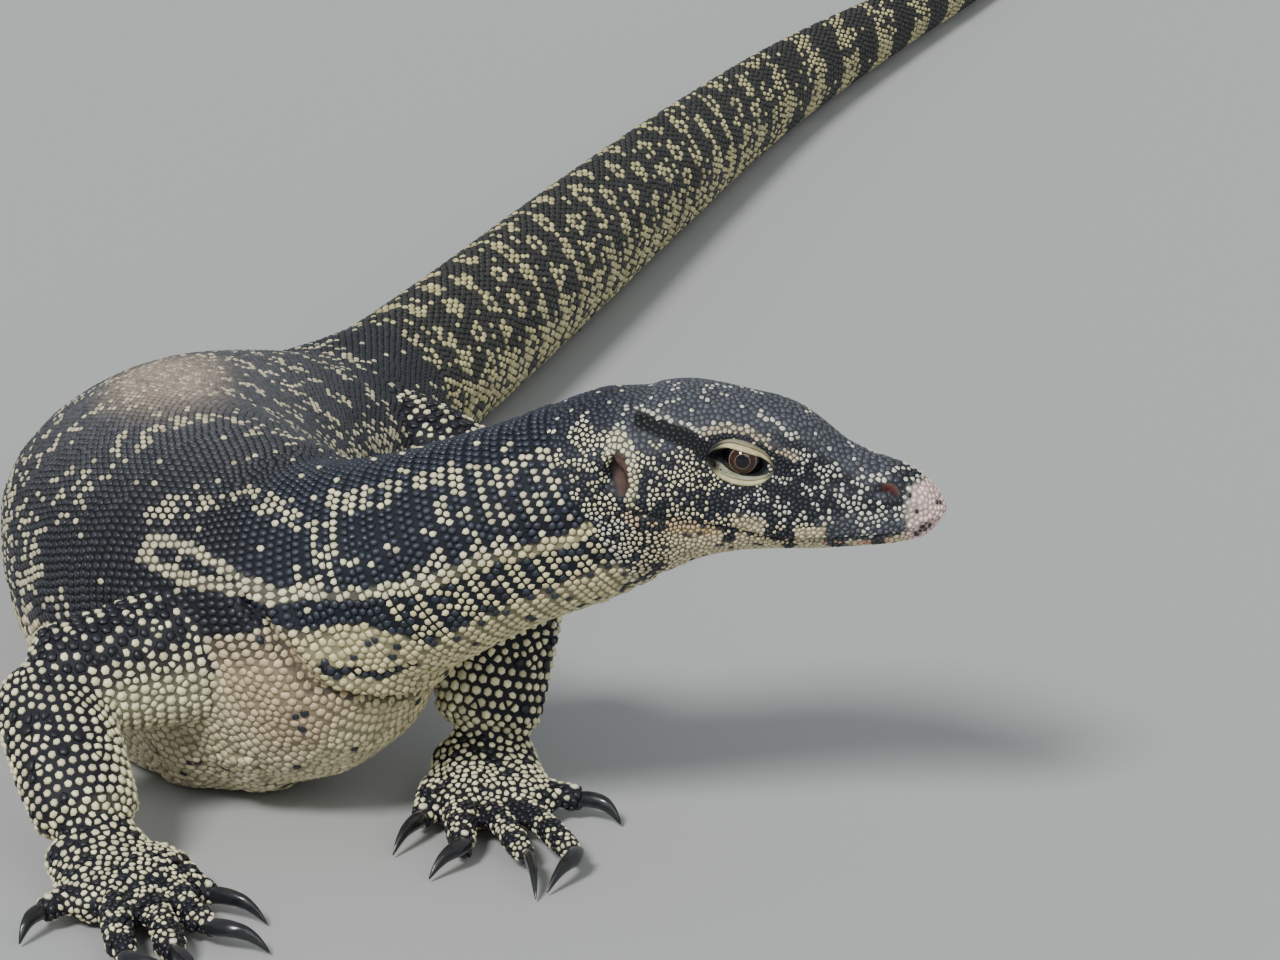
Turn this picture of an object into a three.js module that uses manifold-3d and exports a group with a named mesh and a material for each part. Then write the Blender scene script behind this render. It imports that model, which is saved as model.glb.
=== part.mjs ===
// An adult Asian water monitor, life size, in millimetres, +Z up.
// The forebody is raised on the arms with the neck turned to the animal's left; the belly,
// the hind legs and the whole tail rest on the floor at z = 0.
// The origin is on the floor, in the middle of the animal's footprint.

import * as THREE from 'three';
import { mergeVertices } from 'three/addons/utils/BufferGeometryUtils.js';
import Module from 'manifold-3d';

const wasm = await Module();
wasm.setup();

// Driving lengths of the animal.
const HEAD_LENGTH = 105.5;      // snout tip to ear
const NECK_END = 226;           // snout tip to the line of the shoulders
const HIP_DISTANCE = 543;       // snout tip to the hips
const VENT_DISTANCE = 605;      // snout tip to the vent
const JOINT_GAP = 0.3;          // clear space between touching pieces
const SOLE_LEVEL = 0;           // the floor
const FINISH_WELD = 0.002;      // corners closer than this become one

// Where the plan drawing of the pose sits over the middle of the footprint.
const PLAN_SHIFT = new THREE.Vector3(-81.5, -536, 0);

// The head: the point midway between the ears, the way it looks, and how far the middle line
// of the skull runs below the ears.
const EAR_MIDPOINT = new THREE.Vector3(92, -60, 141);
const HEAD_YAW = THREE.MathUtils.degToRad(-10);
const HEAD_PITCH = THREE.MathUtils.degToRad(-4.5);
const SKULL_LINE_DROP = 8;

// Colours of the hide, claws and eyes.
const HIDE = { dark: 0x22262b, grey: 0x4a4f56, pale: 0xb7ae84, claw: 0x14161a, eye: 0x2a120c };

function hideMaterial(color) {
  return new THREE.MeshStandardMaterial({ color, roughness: 0.55, metalness: 0 });
}

const hornMaterial = new THREE.MeshStandardMaterial({ color: HIDE.claw, roughness: 0.3, metalness: 0 });
const eyeMaterial = new THREE.MeshStandardMaterial({ color: HIDE.eye, roughness: 0.08, metalness: 0 });

// Solids: a closed geometry becomes a solid, and a solid becomes a geometry again. A shape
// that its placing has mirrored is turned right side out.
function solidFrom(geometry, weld = 1e-4) {
  const bare = geometry.clone();
  bare.deleteAttribute('normal');
  bare.deleteAttribute('uv');
  const merged = mergeVertices(bare, weld);
  const vertProperties = new Float32Array(merged.attributes.position.array);
  const triVerts = new Uint32Array(merged.index.array);
  if (signedVolume(vertProperties, triVerts) < 0) triVerts.reverse();
  return new wasm.Manifold(new wasm.Mesh({ numProp: 3, vertProperties, triVerts }));
}

function signedVolume(places, corners) {
  const corner = (index) => new THREE.Vector3().fromArray(places, corners[index] * 3);
  let volume = 0;
  for (let index = 0; index < corners.length; index += 3) {
    volume += corner(index).dot(corner(index + 1).cross(corner(index + 2))) / 6;
  }
  return volume;
}

function largestPiece(solid) {
  const pieces = solid.decompose();
  pieces.sort((first, second) => second.volume() - first.volume());
  return pieces[0];
}

function plainGeometry(solid) {
  const mesh = solid.getMesh();
  const geometry = new THREE.BufferGeometry();
  geometry.setAttribute('position', new THREE.BufferAttribute(mesh.vertProperties, 3));
  geometry.setIndex(new THREE.BufferAttribute(mesh.triVerts, 1));
  return geometry;
}

// The finished surface of a node: its largest piece, with slivers under the weld closed up.
function geometryFrom(solid) {
  const welded = solidFrom(plainGeometry(largestPiece(solid)), FINISH_WELD);
  const geometry = plainGeometry(largestPiece(welded));
  geometry.computeVertexNormals();
  return geometry;
}

// Smooth blend between the rows of a table: each row is a distance followed by its sizes.
function sizesAt(table, distance) {
  const last = table.length - 1;
  if (distance <= table[0][0]) return table[0].slice(1);
  if (distance >= table[last][0]) return table[last].slice(1);
  const upper = table.findIndex((row) => row[0] >= distance);
  const rows = [upper - 2, upper - 1, upper, upper + 1];
  const [before, start, end, after] = rows.map((row) => table[THREE.MathUtils.clamp(row, 0, last)]);
  const span = end[0] - start[0];
  const share = (distance - start[0]) / span;
  return start.slice(1).map((value, column) => {
    const next = end[column + 1];
    const slopeIn = (next - before[column + 1]) / Math.max(end[0] - before[0], 1e-6);
    const slopeOut = (after[column + 1] - value) / Math.max(after[0] - start[0], 1e-6);
    const share2 = share * share;
    const share3 = share2 * share;
    return value * (2 * share3 - 3 * share2 + 1) + slopeIn * span * (share3 - 2 * share2 + share)
      + next * (3 * share2 - 2 * share3) + slopeOut * span * (share3 - share2);
  });
}

// A rail is the middle line of a long part, with a side and a rise direction at each distance.
// A level rail keeps its side horizontal; any other carries its first side along without twist.
class Rail {
  constructor(points, firstSide) {
    this.curve = new THREE.CatmullRomCurve3(points, false, 'centripetal');
    this.curve.arcLengthDivisions = 600;
    this.length = this.curve.getLength();
    this.firstSide = firstSide;
    if (firstSide) this.sides = this.carrySide();
  }

  carrySide() {
    const steps = 160;
    const side = this.firstSide.clone();
    const sides = [];
    for (let step = 0; step <= steps; step += 1) {
      const along = this.curve.getTangentAt(step / steps);
      side.addScaledVector(along, -side.dot(along)).normalize();
      sides.push(side.clone());
    }
    return sides;
  }

  frame(distance) {
    const share = THREE.MathUtils.clamp(distance / this.length, 0, 1);
    const point = this.curve.getPointAt(share);
    const along = this.curve.getTangentAt(share);
    const side = new THREE.Vector3(-along.y, along.x, 0);
    if (this.sides) {
      const place = share * (this.sides.length - 1);
      const low = Math.min(Math.floor(place), this.sides.length - 2);
      side.lerpVectors(this.sides[low], this.sides[low + 1], place - low);
    }
    side.addScaledVector(along, -side.dot(along)).normalize();
    const rise = new THREE.Vector3().crossVectors(side, along).multiplyScalar(this.sides ? 1 : -1);
    return { point, along, side, rise };
  }
}

// A loft: a closed cylinder whose rings follow a rail between two distances. outline gives
// the sideways and upward offset for a distance and an angle round the ring. Nothing goes
// below the floor, which makes the flats that the animal rests on.
function loft(rail, from, to, rings, sides, outline, grow = 0) {
  const geometry = new THREE.CylinderGeometry(1, 1, 1, sides, rings);
  const position = geometry.attributes.position;
  for (let vertex = 0; vertex < position.count; vertex += 1) {
    const radius = Math.hypot(position.getX(vertex), position.getZ(vertex));
    const angle = Math.atan2(position.getZ(vertex), position.getX(vertex));
    const share = position.getY(vertex) + 0.5;
    const distance = to + (from - to) * share;
    const endGrowth = (share > 0.999 ? -grow : 0) + (share < 0.001 ? grow : 0);
    const { point, side, rise } = rail.frame(distance + endGrowth);
    const [across, up] = outline(distance, angle);
    const reach = Math.hypot(across, up);
    const scale = radius * (reach + grow) / Math.max(reach, 1e-6);
    point.addScaledVector(side, across * scale).addScaledVector(rise, up * scale);
    point.z = Math.max(point.z, SOLE_LEVEL - grow);
    position.setXYZ(vertex, point.x, point.y, point.z);
  }
  return solidFrom(geometry);
}

// Head frame: forward along the snout, to the animal's right, and up.
const headForward = new THREE.Vector3(
  Math.cos(HEAD_YAW) * Math.cos(HEAD_PITCH),
  Math.sin(HEAD_YAW) * Math.cos(HEAD_PITCH),
  Math.sin(HEAD_PITCH),
);
const headRight = new THREE.Vector3(Math.sin(HEAD_YAW), -Math.cos(HEAD_YAW), 0);
const headUp = new THREE.Vector3().crossVectors(headRight, headForward);
const headMatrix = new THREE.Matrix4().makeBasis(headForward, headRight.clone().negate(), headUp);
headMatrix.setPosition(EAR_MIDPOINT);

// A point of the head: millimetres ahead of the ears, out to one side, and above the ears.
function headPoint(ahead, out, above, side = 1) {
  return new THREE.Vector3(ahead, -out * side, above).applyMatrix4(headMatrix);
}

// The body line, from the snout tip back to the tip of the tail. The head part is straight.
// The rest walks in plan: each leg is a length, a bearing in degrees and the height it ends at.
const NECK_WALK = [[22, 171, 121], [22, 165, 109], [24, 158, 96], [24, 149, 84], [24, 138, 75]];
const TRUNK_WALK = [[40, 127, 72], [45, 113, 67], [55, 98, 61], [60, 83, 53], [60, 75, 44],
  [50, 71, 36], [62, 69, 31]];
const TAIL_WALK = [[70, 70, 30], [120, 72, 29], [150, 73, 25], [170, 72, 20], [150, 68, 15],
  [120, 67, 10.5], [110, 74, 6.4], [90, 88, 1.6]];

function bodyPoints() {
  const points = [HEAD_LENGTH, 80, 60, 40, 20, 8, 0].map((ahead) => headPoint(ahead, 0, -SKULL_LINE_DROP));
  for (const [length, bearing, height] of [...NECK_WALK, ...TRUNK_WALK, ...TAIL_WALK]) {
    const last = points[points.length - 1];
    const angle = THREE.MathUtils.degToRad(bearing);
    const next = new THREE.Vector3(last.x + length * Math.cos(angle), last.y + length * Math.sin(angle), height);
    points.push(next);
  }
  return points;
}

const bodyRail = new Rail(bodyPoints());

// Sizes along the body line: distance from the snout, half width, rise above the line and
// drop below it.
const BODY_SIZES = [
  [0, 3.5, 3, 3], [1.5, 6.5, 5.2, 6], [4, 9, 7.6, 8.6], [8, 11.2, 11, 10.6],
  [14, 13.2, 13.6, 12.6], [25, 15, 16, 15], [34, 16.6, 19, 16.6], [41, 18.4, 23.8, 17.8],
  [50, 20.6, 28.6, 18.6], [57, 21.8, 30.4, 19.6], [66, 23.6, 31, 21.4], [77, 26.8, 32, 25.4],
  [86, 29.2, 32, 31], [95, 30.6, 30.2, 35.4], [106, 30.6, 27, 38.4], [128, 30, 29.2, 38],
  [151, 31, 32, 35.5], [178, 35, 35.5, 36.5], [204, 42, 40, 40], [215, 45, 42, 49],
  [NECK_END, 49, 45, 58], [250, 54, 48, 69], [268, 57, 49, 76], [320, 61, 51, 78],
  [375, 62, 50, 72], [432, 61, 46, 63], [490, 55, 39, 52], [HIP_DISTANCE, 46, 32, 42],
  [580, 37, 31, 36], [VENT_DISTANCE, 31, 31, 33], [665, 28, 32, 31], [805, 23.5, 31, 29.5],
  [955, 19, 27.5, 26], [1105, 14.6, 22, 21], [1305, 9.6, 14, 13.4], [1455, 5.4, 7.8, 7.6],
  [1562, 2, 2.6, 2.6], [1586, 0.9, 1.2, 1.2],
];

// Swellings and hollows of the head, the same on both sides: ahead of the ears, above the
// ears, reach along, reach up, and how far the side moves out.
const HEAD_FORMS = {
  brow: [46, 15.5, 13, 3.6, 2.6],
  eyeHollow: [41, 6, 10, 6, -2],
  cheek: [16, -12, 13, 12, 2],
  temple: [24, 12, 12, 6, -1.4],
  nostrilSwelling: [86, 0, 8, 5, 1],
  snoutHollow: [63, 1, 12, 6, -1.6],
  upperLip: [62, -13.5, 34, 4, 1],
};

function headForm(ahead, above) {
  let push = 0;
  for (const [centre, level, reachAlong, reachUp, amount] of Object.values(HEAD_FORMS)) {
    const along = (ahead - centre) / reachAlong;
    const up = (above - level) / reachUp;
    push += amount * Math.exp(-along * along - up * up);
  }
  return push;
}

// Height of the mouth line above the ears, by the distance ahead of them.
const MOUTH_LINE = [[12, -12.8], [24, -14], [41, -16.8], [56, -20.4], [73, -18.8], [85, -16.6],
  [96, -13.6], [103, -11]];
const GAPE = MOUTH_LINE[0][0];
const JAW_INSET = 0.9;
const LIP_GAP = 0.5;

// A rounded section: squareness 2 is an ellipse and more is boxier.
function roundedSection(angle, halfWidth, rise, drop, squareness) {
  const cosine = Math.cos(angle);
  const sine = Math.sin(angle);
  const power = 2 / squareness;
  const across = Math.sign(cosine) * Math.abs(cosine) ** power * halfWidth;
  const up = Math.sign(sine) * Math.abs(sine) ** power * (sine > 0 ? rise : drop);
  return [across, up];
}

// How square the section is, and how much narrower its upper part is, along the body.
const BODY_SHAPES = [
  [0, 2, 0.1], [20, 2.35, 0.26], [40, 2.4, 0.26], [60, 2.5, 0.16], [85, 2.3, 0.12], [110, 2, 0.06],
  [200, 2.05, 0.12], [322, 2.15, 0.26], [450, 2.15, 0.24], [HIP_DISTANCE, 2.1, 0.12], [VENT_DISTANCE, 2, 0.2],
  [800, 2, 0.34], [1100, 2, 0.4], [1600, 2, 0.3],
];

function bodyOutline(distance, angle) {
  const [halfWidth, rise, drop] = sizesAt(BODY_SIZES, distance);
  const [squareness, taper] = sizesAt(BODY_SHAPES, distance);
  let [across, up] = roundedSection(angle, halfWidth, rise, drop, squareness);
  if (up > 0) across *= 1 - taper * (up / rise) ** 2;
  if (distance < HEAD_LENGTH + 20) {
    const ahead = HEAD_LENGTH - distance;
    const above = up - SKULL_LINE_DROP;
    const sideways = Math.abs(across) / halfWidth;
    across += Math.sign(across) * headForm(ahead, above) * sideways;
    const [mouthLevel] = sizesAt(MOUTH_LINE, ahead);
    if (ahead > GAPE && above < mouthLevel) across -= Math.sign(across) * JAW_INSET * sideways;
  }
  return [across, up];
}

function bodyPiece(from, to, rings, sides, grow = 0) {
  return loft(bodyRail, from, to, rings, sides, bodyOutline, grow);
}

// Eyes: balls set in sockets under the brow, with a ring of lid round each.
const EYE = { ahead: 41, out: 14.6, above: 6.2, radius: 7 };
const LID = { halfLength: 8.6, halfHeight: 4.9, thickness: 1.25, lift: 0.5 };

function eyeball(side, grow = 0) {
  const geometry = new THREE.SphereGeometry(EYE.radius + grow, 12, 8);
  geometry.applyMatrix4(new THREE.Matrix4().setPosition(headPoint(EYE.ahead, EYE.out, EYE.above, side)));
  return solidFrom(geometry);
}

function eyelids(side) {
  const geometry = new THREE.TorusGeometry(1, 1, 4, 16);
  const position = geometry.attributes.position;
  for (let vertex = 0; vertex < position.count; vertex += 1) {
    const x = position.getX(vertex);
    const y = position.getY(vertex);
    const around = Math.atan2(y, x);
    const tubeOut = (Math.hypot(x, y) - 1) * LID.thickness;
    const tubeLift = position.getZ(vertex) * LID.thickness;
    const pinch = 1 - 0.3 * Math.abs(Math.cos(around)) ** 3;
    const ahead = Math.cos(around) * (LID.halfLength + tubeOut);
    const above = Math.sin(around) * (LID.halfHeight + tubeOut) * pinch;
    const fromCentre = Math.hypot(ahead, above);
    const domeRadius = EYE.radius + LID.lift;
    const dome = Math.sqrt(Math.max(domeRadius ** 2 - Math.min(fromCentre, domeRadius) ** 2, 9));
    const out = EYE.out + dome + tubeLift;
    const place = headPoint(EYE.ahead + ahead, out, EYE.above + above, side);
    position.setXYZ(vertex, place.x, place.y, place.z);
  }
  return solidFrom(geometry);
}

// An egg-shaped cutter pressed into the side of the head: half length, half height and depth.
function sidePit(side, ahead, out, above, halfLength, halfHeight, depth, tilt) {
  const geometry = new THREE.SphereGeometry(1, 10, 7);
  const position = geometry.attributes.position;
  for (let vertex = 0; vertex < position.count; vertex += 1) {
    const x = position.getX(vertex) * halfLength;
    const z = position.getZ(vertex) * halfHeight;
    const turnedX = x * Math.cos(tilt) - z * Math.sin(tilt);
    const turnedZ = x * Math.sin(tilt) + z * Math.cos(tilt);
    const place = headPoint(ahead + turnedX, out + position.getY(vertex) * depth, above + turnedZ, side);
    position.setXYZ(vertex, place.x, place.y, place.z);
  }
  return solidFrom(geometry);
}

const EAR = { ahead: 1.2, above: -0.8, out: 30.6, halfWidth: 2.9, halfHeight: 6.8, depth: 5.5, rim: 1.6 };
const NOSTRIL = { ahead: 85.4, above: -0.6, out: 13.6, halfLength: 2.9, halfHeight: 1.8, depth: 3.4 };
const EAR_TILT = 0.12;
const NOSTRIL_TILT = -0.5;

function earRim(side) {
  const { ahead, out, above, halfWidth, halfHeight, rim } = EAR;
  return sidePit(side, ahead, out - 1.6, above, halfWidth + rim, halfHeight + rim, 2.8, EAR_TILT);
}

function earCup(side) {
  const { ahead, out, above, halfWidth, halfHeight, depth } = EAR;
  return sidePit(side, ahead, out, above, halfWidth, halfHeight, depth, EAR_TILT);
}

function nostrilPit(side) {
  const { ahead, out, above, halfLength, halfHeight, depth } = NOSTRIL;
  return sidePit(side, ahead, out, above, halfLength, halfHeight, depth, NOSTRIL_TILT);
}

// Everything below the mouth line and ahead of the gape, as a block across the head.
function jawBlock(raise) {
  const shape = new THREE.Shape();
  const depth = 80;
  const line = MOUTH_LINE.map(([ahead, above]) => new THREE.Vector2(ahead, above + raise));
  shape.moveTo(GAPE - raise, -depth);
  shape.lineTo(GAPE - raise, line[0].y);
  shape.splineThru(line);
  shape.lineTo(HEAD_LENGTH + 20, line[line.length - 1].y);
  shape.lineTo(HEAD_LENGTH + 20, -depth);
  const geometry = new THREE.ExtrudeGeometry(shape, { depth, bevelEnabled: false, curveSegments: 2 });
  geometry.translate(0, 0, -depth / 2);
  geometry.applyMatrix4(new THREE.Matrix4().makeRotationX(Math.PI / 2));
  geometry.applyMatrix4(headMatrix);
  return solidFrom(geometry);
}

const NAPE_DISTANCE = HEAD_LENGTH + 10;
const wholeHead = bodyPiece(0, NAPE_DISTANCE, 24, 28);

function skull() {
  let solid = wholeHead.subtract(jawBlock(LIP_GAP));
  for (const side of [1, -1]) {
    solid = solid.add(eyelids(side)).subtract(eyeball(side, JOINT_GAP));
    solid = solid.add(earRim(side)).subtract(earCup(side)).subtract(nostrilPit(side));
  }
  return solid;
}

// A tube of flesh through points, with half width and half thickness by share of its length.
// side is the way its width runs. Its ends are rounded over the given lengths.
function fleshTube({ points, sizes, side, rings, sides, startRound = 0, endRound = 0 }, grow = 0) {
  const rail = new Rail(points, side);
  const rounding = (distance, length) => {
    if (length === 0 || distance >= length) return 1;
    return Math.sqrt(Math.max(1 - (1 - distance / length) ** 2, 0.02));
  };
  const outline = (distance, angle) => {
    const [halfWidth, halfThickness] = sizesAt(sizes, distance / rail.length);
    const end = rounding(distance, startRound) * rounding(rail.length - distance, endRound);
    return roundedSection(angle, halfWidth * end, halfThickness * end, halfThickness * end, 2.1);
  };
  return loft(rail, 0, rail.length, rings, sides, outline, grow);
}

// Digits: where each starts ahead of the wrist and inward of its middle, its length, the way
// it points, and the claw's length and direction. Angles are degrees towards the thumb side.
const FINGERS = [
  { ahead: 18, inward: 18.5, length: 25, angle: 15, claw: 18, clawAngle: 36 },
  { ahead: 32, inward: 11, length: 37, angle: 3, claw: 17, clawAngle: 50 },
  { ahead: 36, inward: 2, length: 47, angle: -11, claw: 20, clawAngle: 2 },
  { ahead: 34, inward: -8, length: 50, angle: -18, claw: 20, clawAngle: 40 },
  { ahead: 22, inward: -15, length: 18, angle: -66, claw: 13, clawAngle: -52 },
];
const TOES = [
  { ahead: 24, inward: 15, length: 24, angle: 30, claw: 14, clawAngle: 38 },
  { ahead: 36, inward: 9, length: 33, angle: 14, claw: 15, clawAngle: 22 },
  { ahead: 40, inward: 1, length: 42, angle: 2, claw: 15, clawAngle: 8 },
  { ahead: 37, inward: -7, length: 50, angle: -10, claw: 15, clawAngle: -4 },
  { ahead: 22, inward: -14, length: 32, angle: -40, claw: 13, clawAngle: -44 },
];

// Flesh of the legs: half width and half thickness by share of each length.
const ARM_FLESH = {
  upper: [[0, 24, 22], [0.4, 23.5, 20], [0.8, 20, 18.5], [1, 18, 16.5]],
  lower: [[0, 17.5, 16.5], [0.3, 19.5, 18], [0.65, 19.5, 16.5], [1, 17.5, 13.5]],
  palm: [[0, 16.5, 12.5], [0.35, 19, 11], [0.75, 22, 9.2], [1, 20.5, 7.6]],
  palmLength: 42,
};
const LEG_FLESH = {
  upper: [[0, 26, 25], [0.4, 24, 22], [0.8, 19.5, 18.5], [1, 17, 17]],
  lower: [[0, 16.5, 16], [0.3, 18, 16.5], [0.65, 15, 13.5], [1, 12.5, 11]],
  palm: [[0, 12, 11], [0.35, 14, 10], [0.75, 18, 8.6], [1, 17, 7.6]],
  palmLength: 46,
};
const WRIST_OVERLAP = 7;
const SOLE_DEPTH = 7.2;

// The arms: shoulder inside the chest, elbow, wrist, and the bearing of the hand in plan.
const ARMS = [
  { side: -1, label: 'left', root: [8, -8, 66], bend: [56, 14, 80], wrist: [45, -2, 20], bearing: -83 },
  { side: 1, label: 'right', root: [-20, -26, 66], bend: [-97, -47, 54], wrist: [-79, -90, 19], bearing: -63 },
];

// The hind legs: hip, knee and ankle are given ahead of the hips, out from the middle line
// and above the floor, and the foot turns out from straight ahead. The left leg trails.
const HIP_FRAME = bodyRail.frame(HIP_DISTANCE);
const HIND_LEGS = [
  { side: -1, label: 'left', hip: [-6, 16, 34], knee: [12, 68, 35], ankle: [-54, 84, 15], turnedOut: 16 },
  { side: 1, label: 'right', hip: [-6, 16, 34], knee: [6, 67, 34], ankle: [-62, 69, 15], turnedOut: 8 },
];

function hipPoint([ahead, out, height], side) {
  const place = HIP_FRAME.point.clone();
  place.addScaledVector(HIP_FRAME.along, -ahead).addScaledVector(HIP_FRAME.side, out * side);
  return place.setZ(height);
}

function arm({ side, label, root, bend, wrist, bearing }) {
  return {
    names: [`upper_arm_${label}`, `forearm_${label}`, `hand_${label}`],
    side,
    root: new THREE.Vector3(...root),
    bend: new THREE.Vector3(...bend),
    wrist: new THREE.Vector3(...wrist),
    bearing: THREE.MathUtils.degToRad(bearing),
    flesh: ARM_FLESH,
    digits: FINGERS,
  };
}

function hindLeg({ side, label, hip, knee, ankle, turnedOut }) {
  const ahead = Math.atan2(-HIP_FRAME.along.y, -HIP_FRAME.along.x);
  return {
    names: [`thigh_${label}`, `shank_${label}`, `foot_${label}`],
    side,
    root: hipPoint(hip, side),
    bend: hipPoint(knee, side),
    wrist: hipPoint(ankle, side),
    bearing: ahead - side * THREE.MathUtils.degToRad(turnedOut),
    flesh: LEG_FLESH,
    digits: TOES,
  };
}

// A place in the plan of a foot: ahead of the wrist, inward towards the thumb, and height.
function footPoint(limb, ahead, inward, height) {
  const forward = new THREE.Vector3(Math.cos(limb.bearing), Math.sin(limb.bearing), 0);
  const thumbward = new THREE.Vector3(-forward.y, forward.x, 0).multiplyScalar(limb.side);
  return limb.wrist.clone().setZ(height).addScaledVector(forward, ahead).addScaledVector(thumbward, inward);
}

function acrossFoot(limb) {
  return new THREE.Vector3(-Math.sin(limb.bearing), Math.cos(limb.bearing), 0);
}

function digitEnd(digit) {
  const turn = THREE.MathUtils.degToRad(digit.angle);
  return [digit.ahead + digit.length * Math.cos(turn), digit.inward + digit.length * Math.sin(turn)];
}

const DIGIT_FLESH = [[0, 5, 5], [0.25, 5.6, 5.4], [0.5, 4.7, 4.6], [0.64, 5, 5], [0.86, 4.4, 4.4], [1, 3.4, 3.6]];

function digitSolid(limb, digit) {
  const [endAhead, endInward] = digitEnd(digit);
  const points = [
    footPoint(limb, digit.ahead - 9, digit.inward * 0.8, 8.5),
    footPoint(limb, digit.ahead, digit.inward, 8.5),
    footPoint(limb, (digit.ahead + endAhead) / 2, (digit.inward + endInward) / 2, 8),
    footPoint(limb, endAhead, endInward, 5.4),
  ];
  const side = acrossFoot(limb);
  return fleshTube({ points, sizes: DIGIT_FLESH, side, rings: 6, sides: 7, startRound: 3, endRound: 3 });
}

const CLAW_HORN = [[0, 2, 2.8], [0.3, 2.2, 3.3], [0.65, 1.5, 2.3], [0.88, 0.8, 1.1], [1, 0.3, 0.35]];

function clawSolid(limb, digit, grow = 0) {
  const [endAhead, endInward] = digitEnd(digit);
  const turn = THREE.MathUtils.degToRad(digit.clawAngle);
  const along = (share, height) => footPoint(
    limb,
    endAhead + digit.claw * share * Math.cos(turn),
    endInward + digit.claw * share * Math.sin(turn),
    height,
  );
  const points = [along(-0.14, 6.2), along(0.2, 7.8), along(0.65, 6.2), along(1, 0.9)];
  return fleshTube({ points, sizes: CLAW_HORN, side: acrossFoot(limb), rings: 5, sides: 6 }, grow);
}

function lerpPoint(from, to, share) {
  return new THREE.Vector3().lerpVectors(from, to, share);
}

// The lower length has both ends rounded. The upper length and the foot are cut to it, so
// each joint is a ball in a cup.
function limbSolids(limb, bodySolids) {
  const { root, bend, wrist, flesh } = limb;
  const side = acrossFoot(limb);
  const lowerTube = {
    points: [lerpPoint(bend, wrist, -0.16), lerpPoint(bend, wrist, 0.5), lerpPoint(bend, wrist, 1.04)],
    sizes: flesh.lower,
    side,
    rings: 9,
    sides: 12,
    startRound: 15,
    endRound: 7,
  };
  const upperTube = {
    points: [root, lerpPoint(root, bend, 0.5), lerpPoint(root, bend, 1.12)],
    sizes: flesh.upper,
    side: new THREE.Vector3(0, 0, 1),
    rings: 8,
    sides: 14,
    endRound: 14,
  };
  const palmTube = {
    points: [
      footPoint(limb, -WRIST_OVERLAP, 0, wrist.z - 2),
      footPoint(limb, 10, 0, SOLE_DEPTH + 3),
      footPoint(limb, flesh.palmLength, 0, SOLE_DEPTH),
    ],
    sizes: flesh.palm,
    side,
    rings: 7,
    sides: 14,
    startRound: 6,
    endRound: 6,
  };
  const lower = fleshTube(lowerTube);
  const aroundLower = fleshTube(lowerTube, JOINT_GAP);
  let upper = fleshTube(upperTube).subtract(aroundLower);
  for (const body of bodySolids) upper = upper.subtract(body);
  let foot = fleshTube(palmTube);
  for (const digit of limb.digits) foot = foot.add(digitSolid(limb, digit));
  foot = foot.subtract(aroundLower);
  for (const digit of limb.digits) foot = foot.subtract(clawSolid(limb, digit, JOINT_GAP));
  return [upper, lower, foot];
}

const lizard = new THREE.Group();
lizard.position.copy(PLAN_SHIFT);

function addNode(name, solid, material) {
  const mesh = new THREE.Mesh(geometryFrom(solid), material);
  mesh.name = name;
  lizard.add(mesh);
}

addNode('head', skull(), hideMaterial(HIDE.grey));
addNode('lower_jaw', wholeHead.intersect(jawBlock(0)), hideMaterial(HIDE.pale));
addNode('eye_right', eyeball(1), eyeMaterial);
addNode('eye_left', eyeball(-1), eyeMaterial);

const BODY_PIECES = [
  { name: 'neck', from: NAPE_DISTANCE, to: 208, rings: 8, sides: 24 },
  { name: 'chest', from: 208, to: 312, rings: 8, sides: 26 },
  { name: 'trunk', from: 312, to: 450, rings: 8, sides: 26 },
  { name: 'pelvis', from: 450, to: VENT_DISTANCE, rings: 8, sides: 26 },
  { name: 'tail_1', from: VENT_DISTANCE, to: 800, rings: 7, sides: 16 },
  { name: 'tail_2', from: 800, to: 1000, rings: 6, sides: 16 },
  { name: 'tail_3', from: 1000, to: 1200, rings: 6, sides: 14 },
  { name: 'tail_4', from: 1200, to: 1400, rings: 6, sides: 12 },
  { name: 'tail_5', from: 1400, to: 1580, rings: 7, sides: 10 },
];

for (const { name, from, to, rings, sides } of BODY_PIECES) {
  addNode(name, bodyPiece(from + JOINT_GAP, to, rings, sides), hideMaterial(HIDE.dark));
}

const clearOfBody = BODY_PIECES.slice(0, 5).map(
  ({ from, to, rings, sides }) => bodyPiece(from + JOINT_GAP, to, rings, sides, JOINT_GAP),
);
const limbs = [...ARMS.map(arm), ...HIND_LEGS.map(hindLeg)];

for (const limb of limbs) {
  const solids = limbSolids(limb, clearOfBody);
  solids.forEach((solid, index) => addNode(limb.names[index], solid, hideMaterial(HIDE.dark)));
  limb.digits.forEach((digit, index) => {
    addNode(`${limb.names[2]}_claw_${index + 1}`, clawSolid(limb, digit), hornMaterial);
  });
}

export default lizard;
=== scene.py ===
import math

import bmesh
import bpy
import numpy as np
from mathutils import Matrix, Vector, noise
from mathutils.bvhtree import BVHTree
from mathutils.kdtree import KDTree


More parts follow.
